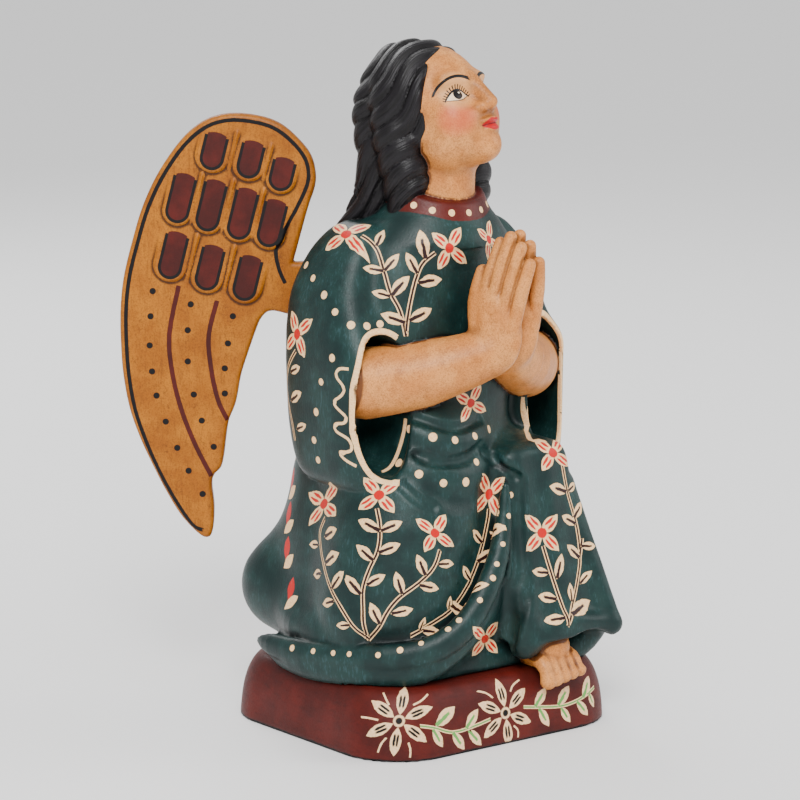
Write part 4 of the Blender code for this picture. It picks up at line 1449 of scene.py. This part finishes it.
def wanted_edge(points):
    """The longest edge wanted at a place on the figure: finer on face, hands, hair and creases."""
    wanted = np.full(len(points), 3.2)
    head = to_head(points)
    on_face = (head[:, 1] > 8) & (np.abs(head[:, 0]) < 26) & (np.abs(head[:, 2]) < 36)
    wanted[points[:, 2] > 204] = 1.45
    wanted[on_face] = 1.15
    hands = np.linalg.norm((points - (WRISTS + np.array([0, -6, 28.0]))) / (22, 24, 34), axis=1) < 1
    wanted[hands] = 1.3
    foot = np.linalg.norm((points - (31, -66, 0)) / (15, 12, 14), axis=1) < 1
    wanted[foot] = 1.3
    for crease in CREASES:
        near = crease.near(points)
        wanted[np.flatnonzero(near)[crease.measure(points[near]) > 0.05]] = 1.3
    for side in (-1, 1):
        lip = np.abs(points[:, 1] - SLEEVE_FRONT) < 5
        lip &= np.abs(sleeve_hollow(points, side)) < 2.5
        wanted[lip] = 1.3
    return wanted


def mesh_from(field, low, high, step, wanted=None):
    values = band_values(field, np.asarray(low, float), np.asarray(high, float), step)
    points, triangles = surface_net(values, np.asarray(low, float), step)
    points = project(field, points)
    if wanted is not None:
        for _ in range(2):
            points, triangles = refine(points, triangles, wanted)
            points = project(field, points, rounds=1)
    return points, triangles


def store_vectors(obj, name, values, domain="POINT"):
    attribute = obj.data.attributes.new(name, "FLOAT_VECTOR", domain)
    attribute.data.foreach_set("vector", np.asarray(values, np.float32).ravel())


HOLLOW_REACH = 2.2


def shade_and_sheen_masks(field, points, normals):
    """How sunk and how exposed each point is, 0 to 1: the masks of painted shade in hollows and painted sheen
    on crests.
    """
    sunk = np.clip((HOLLOW_REACH - field(points + normals * HOLLOW_REACH)) / HOLLOW_REACH, 0, 1)
    shown = np.clip((HOLLOW_REACH + field(points - normals * HOLLOW_REACH)) / HOLLOW_REACH, 0, 1)
    return np.column_stack([sunk, shown, np.zeros(len(points))])


def build_figure():
    low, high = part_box("figure")
    low = np.array(low) / MM - (4, 4, FIGURE_FOOT + 4)
    high = np.array(high) / MM + (4, 4, 4 - FIGURE_FOOT)
    points, triangles = mesh_from(figure_field, low, high, FIGURE_STEP, wanted_edge)
    normals = unit(gradient(figure_field, points))
    robe, flesh, hair, collar = figure_groups(points)
    obj = make_object("angel_figure", points, triangles, FIGURE_FOOT)
    edges = [np.minimum(np.minimum(robe, flesh), collar) - hair,
             np.minimum(np.minimum(robe, hair), collar) - flesh,
             np.minimum(np.minimum(robe, flesh), hair) - collar]
    store_vectors(obj, "piece", np.clip(np.stack(edges, axis=1), -3, 3))
    head = to_head(points)
    head[:, 0] = FACE_WRAP * np.arctan2(head[:, 0], head[:, 1] + 2.0)
    store_vectors(obj, "head", head)
    store_vectors(obj, "strand", np.column_stack([*hair_place(points), np.zeros(len(points))]))
    # Masks of painted shade in hollows and painted sheen on crests
    store_vectors(obj, "shade_and_sheen", shade_and_sheen_masks(figure_field, points, normals))
    lifted = points + np.array([0, 0, FIGURE_FOOT])
    canvas = Canvas(lifted, triangles, normals)
    paint_from_photo(canvas)
    paint_sleeve_rims(canvas)
    paint_hidden_sides(canvas)
    paint_collar(canvas)
    for name in ("flower", "leaf", "stem", "dot", "wave", "red_tongue", "cream_tongue"):
        store_vectors(obj, name, canvas.layer(name), "CORNER")
    obj.data.normals_split_custom_set_from_vertices(normals.tolist())
    return obj


BASE_STEP = 2.2


def base_field(points):
    """Signed distance to the plinth, in millimetres above the table, with a hand-cut wall."""
    hollow = 0.35 * (np.sin(points[:, 0] * 0.11 + 1) * np.sin(points[:, 1] * 0.13) + 1)
    wall = plinth_outline(points, points[:, 2]) + hollow * np.clip(points[:, 2] / 8.0, 0, 1)
    level = np.maximum(points[:, 2] - BASE_TOP, -points[:, 2])
    return smooth_max(wall, level, 0.8)


# The base's painted ornament, as places in the photograph
BASE_FLOWERS = [
    ((399, 721), [(406, 690), (429, 706), (425, 746), (392, 757), (367, 736), (368, 704)]),
    ((505.5, 713), [(497, 679), (527, 688), (530, 724), (507, 742), (486, 741), (479, 703)])]
BASE_STEMS = [
    [(420, 726), (435, 728), (449, 732), (460, 731), (477, 725), (491, 719)],
    [(523, 707), (540, 707), (561, 706), (578, 700), (594, 687)]]
BASE_LEAVES = [
    ((436, 726), (455, 707)), ((433, 729), (443, 747)), ((453, 732), (464, 749)),
    ((466, 729), (478, 709)), ((469, 730), (481, 745)), ((535, 707), (546, 688)),
    ((539, 708), (549, 726)), ((558, 706), (569, 686)), ((561, 707), (570, 722)),
    ((577, 701), (588, 715)), ((584, 698), (589, 676)), ((589, 693), (594, 707))]

# Thin brush ticks between the petals
BASE_TICKS = [
    [(383, 692), (386, 699), (389, 705)], [(428, 694), (421, 701), (413, 705)],
    [(361, 717), (369, 718), (378, 720)], [(386, 738), (381, 744), (378, 752)],
    [(408.5, 743), (410.5, 750), (410, 757)], [(477, 691), (486, 693), (493, 698)],
    [(519, 680), (513, 685), (510.5, 691)], [(514, 726), (518, 730), (518, 738)]]


def paint_base(canvas):
    for tick in BASE_TICKS:
        canvas.stroke(canvas.seen(tick), 0.45, name="wave")
    for centre, tips in BASE_FLOWERS:
        place = canvas.pixel(*centre)
        normal = canvas.facing(place)
        canvas.flower(place, [on_plane(tip, place, normal) for tip in tips])
    for stem in BASE_STEMS:
        canvas.stroke(canvas.seen(stem), 0.85)
    for base, tip in BASE_LEAVES:
        middle = canvas.pixel((base[0] + tip[0]) / 2, (base[1] + tip[1]) / 2)
        if middle is not None:
            normal = canvas.facing(middle)
            canvas.leaf(on_plane(base, middle, normal), on_plane(tip, middle, normal))


def build_base():
    low = (-BASE_HALF_X - 3, -BASE_HALF_Y - 3, -3)
    high = (BASE_HALF_X + 3, BASE_HALF_Y + 3, BASE_TOP + 3)
    points, triangles = mesh_from(base_field, low, high, BASE_STEP)
    points[:, 2] = np.maximum(points[:, 2], 0.0)
    normals = unit(gradient(base_field, points))
    obj = make_object("angel_base", points, triangles, 0.0)
    canvas = Canvas(points, triangles, normals)
    paint_base(canvas)
    for name in ("flower", "leaf", "stem", "wave"):
        store_vectors(obj, name, canvas.layer(name), "CORNER")
    return obj


# Wings

WING_OUTLINE = [
    (22, 135), (15, 160.5), (11.5, 171), (11, 178), (13, 186), (18, 193), (27, 201), (37, 205),
    (50, 206.5), (61, 204.5), (70, 199), (78, 190.5), (87, 177), (94, 162), (99, 146), (103.5, 128),
    (105.3, 112), (105.3, 95), (104.3, 80), (101.5, 64), (96.5, 49), (90, 34.5), (84, 22.5),
    (77.5, 11.5), (70, 3), (65, 0), (62, 3), (61, 15), (62, 26), (61, 31), (57.5, 35), (56, 41),
    (55, 49), (53.5, 58), (50, 67), (47.5, 80), (44, 91), (40.5, 101), (37.5, 108), (33, 111.5),
    (25, 110)]
ROOT_REACH = SEAT_DEPTH - JOINT_GAP
FEATHER_ROWS = [
    [(59.5, 189, 8, 10.5), (42, 185, 8, 10.5), (27, 178, 7, 9.5)],
    [(75.5, 166.5, 7, 13.5), (61, 163, 7.4, 14), (46, 159, 7.4, 14), (32, 154.5, 7.4, 13)],
    [(79.5, 139, 8, 13), (62, 133, 8, 12.5), (44, 128, 8, 12.5)]]
FEATHERS = [feather for row in FEATHER_ROWS for feather in row]
FEATHER_LEAN = math.radians(14)
TONGUE_HALF_WIDTH = 4.6
TONGUE_INSET = 2.3
WING_ROUNDING = 2.2

# Lines and dots painted on the long feathers, as (across, height above the table)
WING_LINES = [
    [(77, 208.4), (81.8, 184.5), (80.4, 165.4), (76.2, 147.7), (69.6, 130.4), (62.2, 115.6)],
    [(58.7, 201.1), (62.8, 184.5), (61.9, 168.9), (58.7, 153.1), (54.2, 143.3)]]
WING_DOTS = [
    (89.5, 206), (90.7, 193.8), (91.3, 179.6), (90.3, 166.9), (88.3, 155.1), (84, 142.3), (78.6, 129.4),
    (73.2, 118.1), (66.5, 106.6), (71.3, 199.6), (72.9, 187), (73, 171.8), (70.3, 155.6), (66.6, 142.8),
    (60.9, 129.9), (51.1, 193.8), (53.6, 180.6), (55.2, 168.4), (55.3, 156.1)]
WING_BORDER = [
    (66.5, 4), (72, 7), (81, 21), (88, 34.5), (94, 49), (98.8, 64), (101.4, 80), (102.4, 95), (102.4, 112),
    (100.6, 128), (96.2, 145.4), (91.4, 160.8), (84.6, 175.4), (76, 188.4), (68.2, 196.6), (60, 201.6),
    (50, 203.5), (37.6, 202), (28.6, 198.4), (20.4, 191.2), (15.8, 184.6), (14.4, 177.8), (15.4, 171.6),
    (19.8, 162), (24, 154.5), (27.8, 147), (30.2, 140.5), (28.8, 132), (25.8, 125)]


def outline_distance(x, z, outline):
    """Signed distance to a closed outline in the wing's plane, negative inside."""
    nearest = np.full(x.shape, np.inf)
    inside = np.zeros(x.shape, bool)
    for (ax, az), (bx, bz) in zip(outline, np.roll(outline, -1, axis=0)):
        dx, dz = bx - ax, bz - az
        t = np.clip(((x - ax) * dx + (z - az) * dz) / (dx * dx + dz * dz), 0, 1)
        nearest = np.minimum(nearest, np.hypot(x - ax - t * dx, z - az - t * dz))
        crossing = ((az > z) != (bz > z)) & (x < ax + (z - az) * dx / (dz if dz else 1e-9))
        inside ^= crossing
    return np.where(inside, -nearest, nearest)


def feather_place(x, z, feather):
    """A point's place across and along one feather."""
    across, up, _, _ = feather
    dx, dz = across - x, z - up
    return (dx * math.cos(FEATHER_LEAN) - dz * math.sin(FEATHER_LEAN),
            dz * math.cos(FEATHER_LEAN) + dx * math.sin(FEATHER_LEAN))


def feather_relief(x, z):
    """Height of the carved scales above the wing's face, with ridges between them."""
    height = np.zeros(x.shape)
    for feather in FEATHERS:
        _, _, half_width, half_length = feather
        a, b = feather_place(x, z, feather)
        low = b + half_length - half_width
        edge = np.where(low < 0, np.hypot(a, low), np.abs(a)) - half_width
        edge = np.maximum(edge, b - half_length)
        slope = np.clip(0.72 - b / (1.35 * half_length), 0.0, 1.5)
        height = np.maximum(height, slope * np.clip(0.5 - edge / 1.2, 0, 1))
    for row in FEATHER_ROWS:
        for one, two in zip(row, row[1:]):
            between = [(p + q) / 2 for p, q in zip(one, two)]
            a, b = feather_place(x, z, between)
            ridge = 1.25 * np.exp(-(a / 0.9) ** 2) * np.clip((between[3] - np.abs(b - 2)) / 3.0, 0, 1)
            height = np.maximum(height, ridge)
    return height


def softened(table, rounds):
    for _ in range(rounds):
        for axis in (0, 1):
            table = 0.5 * table + 0.25 * (np.roll(table, 1, axis) + np.roll(table, -1, axis))
    return table


class Sheet:
    """A table over the wing's plane, looked up between its entries."""

    STEP = 0.4

    def __init__(self, measure):
        self.low = np.array([-12.0, -8.0])
        self.shape = (320, 560)
        x, z = np.meshgrid(self.low[0] + np.arange(self.shape[0]) * self.STEP,
                           self.low[1] + np.arange(self.shape[1]) * self.STEP, indexing="ij")
        self.table = measure(x, z)

    def at(self, x, z):
        i = np.clip((x - self.low[0]) / self.STEP, 0, self.shape[0] - 1.001)
        k = np.clip((z - self.low[1]) / self.STEP, 0, self.shape[1] - 1.001)
        i0, k0 = i.astype(int), k.astype(int)
        s, t = i - i0, k - k0
        table = self.table
        return ((table[i0, k0] * (1 - s) + table[i0 + 1, k0] * s) * (1 - t)
                + (table[i0, k0 + 1] * (1 - s) + table[i0 + 1, k0 + 1] * s) * t)


def smooth_outline():
    """The wing's outline as a fine smooth loop, with its root run into the seat."""
    path, _ = curve_through(WING_OUTLINE, 5)
    return np.vstack([path, [(-ROOT_REACH, ROOT_LOW), (-ROOT_REACH, ROOT_HIGH)]])


def paint_wing(canvas):
    """Tongues on the scales, lines and dots on the long feathers, and a border on both faces."""
    front = canvas.normals[:, 1] < -0.3
    x, z = canvas.corners[..., 0], canvas.corners[..., 2]
    layer = canvas.layer("tongue")
    best = np.full(len(x), np.inf)
    for feather in FEATHERS:
        _, _, _, half_length = feather
        a, b = feather_place(x, z, feather)
        low = b + half_length - TONGUE_INSET - TONGUE_HALF_WIDTH
        middle = np.hypot(a.mean(1), np.maximum(np.abs(b.mean(1)) - half_length + 5, 0))
        closer = (middle < best) & front
        best[closer] = middle[closer]
        layer[closer] = np.stack([a, low, b - half_length + TONGUE_INSET], axis=-1)[closer]
    face = -WING_THICKNESS / 2
    for line in WING_LINES:
        canvas.stroke([(a, face, b - BASE_TOP - WING_FOOT) for a, b in line], 1.15, name="line")
    for depth in (face, -face):
        canvas.stroke([(a, depth, b) for a, b in WING_BORDER], 0.95, name="border")
    for a, b in WING_DOTS:
        canvas.dot(np.array([a, face, b - BASE_TOP - WING_FOOT]), 1.55)


def build_wing(name, side, shape, relief, recess):
    def wanted(points):
        carved = (points[:, 1] < -3) & (np.abs(recess.at(points[:, 0], points[:, 2])) > 0.05)
        return np.where(carved, 1.0, 3.0)

    def field(points):
        x, y, z = points.T
        edge = shape.at(x, z)
        raised = relief.at(x, z) * np.clip(-edge / 3.0, 0, 1)
        behind = 0.25 * np.sin(x * 0.16 + z * 0.05)
        half = np.where(y < 0, WING_THICKNESS / 2 + raised, WING_THICKNESS / 2 - 0.3 + behind * 0.5)
        a, b = edge + WING_ROUNDING, np.abs(y) - half + WING_ROUNDING
        outside = np.hypot(np.maximum(a, 0), np.maximum(b, 0))
        return outside + np.minimum(np.maximum(a, b), 0) - WING_ROUNDING

    points, triangles = mesh_from(field, (-7, -8, -3), (109, 8, 210), WING_STEP, wanted)
    normals = unit(gradient(field, points))
    canvas = Canvas(points, triangles, normals)
    paint_wing(canvas)
    axes = wing_axes(side)
    placed, turned = points @ axes + wing_root(side), normals @ axes
    if side < 0:
        triangles = triangles[:, [0, 2, 1]]
    obj = make_object(name, placed, triangles, FIGURE_FOOT)
    for layer_name in ("tongue", "line", "border", "dot"):
        values = canvas.layer(layer_name)
        if side < 0:
            values = values[:, [0, 2, 1]]
        store_vectors(obj, layer_name, values, "CORNER")
    # How deep the carved face's recesses lie, the mask of painted shade
    sunk = np.where(points[:, 1] < 0, recess.at(points[:, 0], points[:, 2]), 0)
    store_vectors(obj, "shade_and_sheen", np.column_stack([sunk, 0 * sunk, shape.at(points[:, 0], points[:, 2])]))
    obj.data.normals_split_custom_set_from_vertices(turned.tolist())
    return obj


def make_wing_paint():
    s = Shade("painted_wing")
    # How sunk the skin is, the mask of painted shade, and the distance to the outline
    sunk, _, edge = s.parts("shade_and_sheen")
    cloud = s.noise(14, 4, 0.6)
    grain = s.noise(1.6, 5, 0.65, stretch=(1, 1, 0.2))
    fine = s.noise(0.8, 3, 0.6)
    hand = (s.noise(2.5, 2, 0.5) - 0.5) * 0.5
    scratch = s.ramp(s.noise(2.2, 6, 0.75, distortion=1.2), 0.54, 0.60)
    scratch = scratch * s.ramp(s.noise(9, 3, 0.6), 0.46, 0.62)
    gold = s.mix(s.ramp(cloud, 0.3, 0.7), paint(148, 82, 10), paint(178, 108, 20))
    gold = s.mix(s.ramp(fine, 0.42, 0.68) * 0.5, gold, paint(110, 58, 10))
    gold = s.mix(s.ramp(grain, 0.5, 0.7) * 0.4, gold, paint(98, 50, 10))
    gold = s.mix(scratch * 0.5, gold, paint(84, 42, 12))
    # Painted shade: dark brown in the carved recesses below the scales' edges
    gold = s.mix(s.ramp(sunk, 0.02, 0.2) * s.ramp(fine, 0.1, 0.45) * 0.9, gold, paint(50, 24, 8))
    gold = s.mix(s.ramp(edge, -4.0, 0.5) * s.ramp(grain, 0.35, 0.6) * 0.45, gold, paint(122, 70, 22))

    a, low, top = s.parts("tongue")
    a = a + hand * 0.4
    side = s.length(a, s.math("MINIMUM", low, 0.0)) - TONGUE_HALF_WIDTH
    rim = s.under(side, 1.3, 0.12) * s.ramp(side, -0.3, -0.1) * s.under(top, -1.3, 0.15)
    red = s.under(side, 0.0, 0.12) * s.under(top + a * a * 0.05, 0.6, 0.15)
    maroon = s.mix(s.ramp(cloud, 0.35, 0.7), paint(58, 14, 10), paint(80, 20, 14))
    gold = s.mix(red, gold, maroon)
    gold = s.mix(rim, gold, BLACK)
    across, near = s.line("line", hand * 0.5)
    gold = s.mix(s.under(across, 1.0, 0.1) * near, gold, maroon)
    across, near = s.line("border", hand * 0.6, past=0.2)
    gold = s.mix(s.under(across, 1.0, 0.12) * near, gold, BLACK)
    x, y, _ = s.parts("dot")
    gold = s.mix(s.under(s.length(x, y) + hand * 0.25, 1.0, 0.08), gold, BLACK)
    return s.finish(gold, 0.22, s.ramp(fine, 0.2, 0.8) * 0.18 + 0.36, grain * 0.6 + fine * 0.4, 0.12)


def make_base_paint():
    s = Shade("painted_plinth")
    cloud = s.noise(18, 4, 0.6)
    fine = s.noise(0.9, 4, 0.65)
    brush = s.noise(2.0, 4, 0.6, stretch=(0.3, 0.3, 1))
    hand = (s.noise(2.5, 2, 0.5) - 0.5) * 0.08
    cream = s.mix(s.ramp(fine, 0.35, 0.7), paint(246, 210, 164), paint(228, 182, 132))
    maroon = s.mix(s.ramp(cloud, 0.3, 0.7), *MAROONS)
    maroon = s.mix(s.ramp(brush, 0.5, 0.72) * 0.35, maroon, paint(44, 10, 7))
    across, near = s.line("stem", hand * 2.0)
    maroon = s.mix(s.under(across, 1.0, 0.12) * near, maroon, cream)
    maroon = s.mix(s.under(across, 0.45, 0.12) * near, maroon, LEAF_GREEN)
    blade, rib = leaf_marks(s, "leaf", hand)
    maroon = s.mix(blade, maroon, cream)
    maroon = s.mix(rib, maroon, LEAF_GREEN)
    x, y, _ = s.parts("flower")
    radius = s.length(x, y)
    angle = s.math("ARCTAN2", y, x) * (6 / (2 * math.pi)) + 20.5
    turn = s.absolute(s.math("FRACT", angle) - 0.5) * (2 * math.pi / 6) + hand
    across = radius * s.math("SINE", turn)
    along = radius * s.math("COSINE", turn)
    petals = s.under(across - (along - 0.2) * (1.0 - along) * 0.95, 0.015, 0.012)
    maroon = s.mix(petals, maroon, cream)
    middle = s.absolute(along - 0.56)
    streak = s.absolute(across - 0.05) + middle * middle * 0.3
    streaks = s.under(streak, 0.036, 0.012) * s.under(middle, 0.17, 0.04)
    maroon = s.mix(streaks, maroon, BLACK)
    maroon = s.mix(s.under(radius, 0.17, 0.02), maroon, cream)
    maroon = s.mix(s.under(radius, 0.1, 0.02), maroon, BLACK)
    across, near = s.line("wave", hand)
    maroon = s.mix(s.under(across, 1.0, 0.15) * near, maroon, cream)
    _, _, height = s.split(s.place())
    maroon = s.mix(s.under(height + (brush - 0.5) * 2.4, 1.1, 0.3), maroon, BLACK)
    return s.finish(maroon, 0.22, s.ramp(fine, 0.2, 0.8) * 0.18 + 0.42, brush * 0.5 + fine * 0.5, 0.14)


# The studio, in metres and watts

FLOOR_HALF = 20.0
SKY_STRENGTH = 0.75
SUN_STRENGTH = 1.4
SUN_SPREAD = math.radians(50)
SUN_AIM = (0.5, 0.6, -1.0)
LAMP_TARGET = Vector((0, 0, 0.15))
# Each lamp: (name, place, power, size)
LAMPS = [("key", (-1.1, -1.3, 1.5), 38, 0.7), ("fill", (1.3, -0.9, 0.8), 10, 0.8),
         ("back", (0.3, 1.5, 1.3), 16, 0.9)]
SENSOR_WIDTH = 36.0


def build_pieces():
    figure = build_figure()
    base = build_base()
    shape = Sheet(lambda x, z: outline_distance(x, z, smooth_outline()))
    relief = Sheet(feather_relief)
    relief.table = softened(relief.table, 1)
    recess = Sheet(feather_relief)
    recess.table = softened(relief.table, 14) - relief.table
    right = build_wing("angel_wing_right", -1, shape, relief, recess)
    left = build_wing("angel_wing_left", 1, shape, relief, recess)
    wing_paint = make_wing_paint()
    for obj, node, slot, finish in (
            (figure, "figure", "painted_robe", make_figure_paint()),
            (base, "base", "painted_plinth", make_base_paint()),
            (right, "wing_right", "painted_wing", wing_paint),
            (left, "wing_left", "painted_wing", wing_paint)):
        print(obj.name, "triangles", len(obj.data.polygons))
        obj.data.materials.append(finish)
        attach(obj, "root")
        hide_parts(node)


def add_floor():
    mesh = bpy.data.meshes.new("floor")
    corners = [(x * FLOOR_HALF, y * FLOOR_HALF, 0) for x, y in ((-1, -1), (1, -1), (1, 1), (-1, 1))]
    mesh.from_pydata(corners, [], [(0, 1, 2, 3)])
    floor = place_object("floor", mesh)
    plain = Shade("floor")
    plain.put(plain.surface.inputs["Base Color"], (0.9, 0.9, 0.9))
    plain.put(plain.surface.inputs["Roughness"], 0.7)
    mesh.materials.append(plain.material)


def add_lights():
    """A pale sky, a broad soft sun and three large lamps."""
    world = bpy.data.worlds.new("studio")
    bpy.context.scene.world = world
    world.use_nodes = True
    background = world.node_tree.nodes["Background"]
    background.inputs[0].default_value = (1, 1, 1, 1)
    background.inputs[1].default_value = SKY_STRENGTH
    sun = bpy.data.lights.new("sky", "SUN")
    sun.energy = SUN_STRENGTH
    sun.angle = SUN_SPREAD
    place_object("sky", sun, aim=SUN_AIM)
    for name, place, power, size in LAMPS:
        light = bpy.data.lights.new(name, "AREA")
        light.energy = power
        light.size = size
        place_object(name, light, place, LAMP_TARGET - Vector(place))


def add_camera():
    data = bpy.data.cameras.new("camera")
    data.sensor_width = SENSOR_WIDTH
    data.lens = SENSOR_WIDTH * CAMERA_FOCUS / (2 * PICTURE_MIDDLE)
    bpy.context.scene.camera = place_object("camera", data, Vector(CAMERA_PLACE) * MM, -CAMERA_BACK)


def main():
    build_pieces()
    add_floor()
    add_lights()
    add_camera()


main()
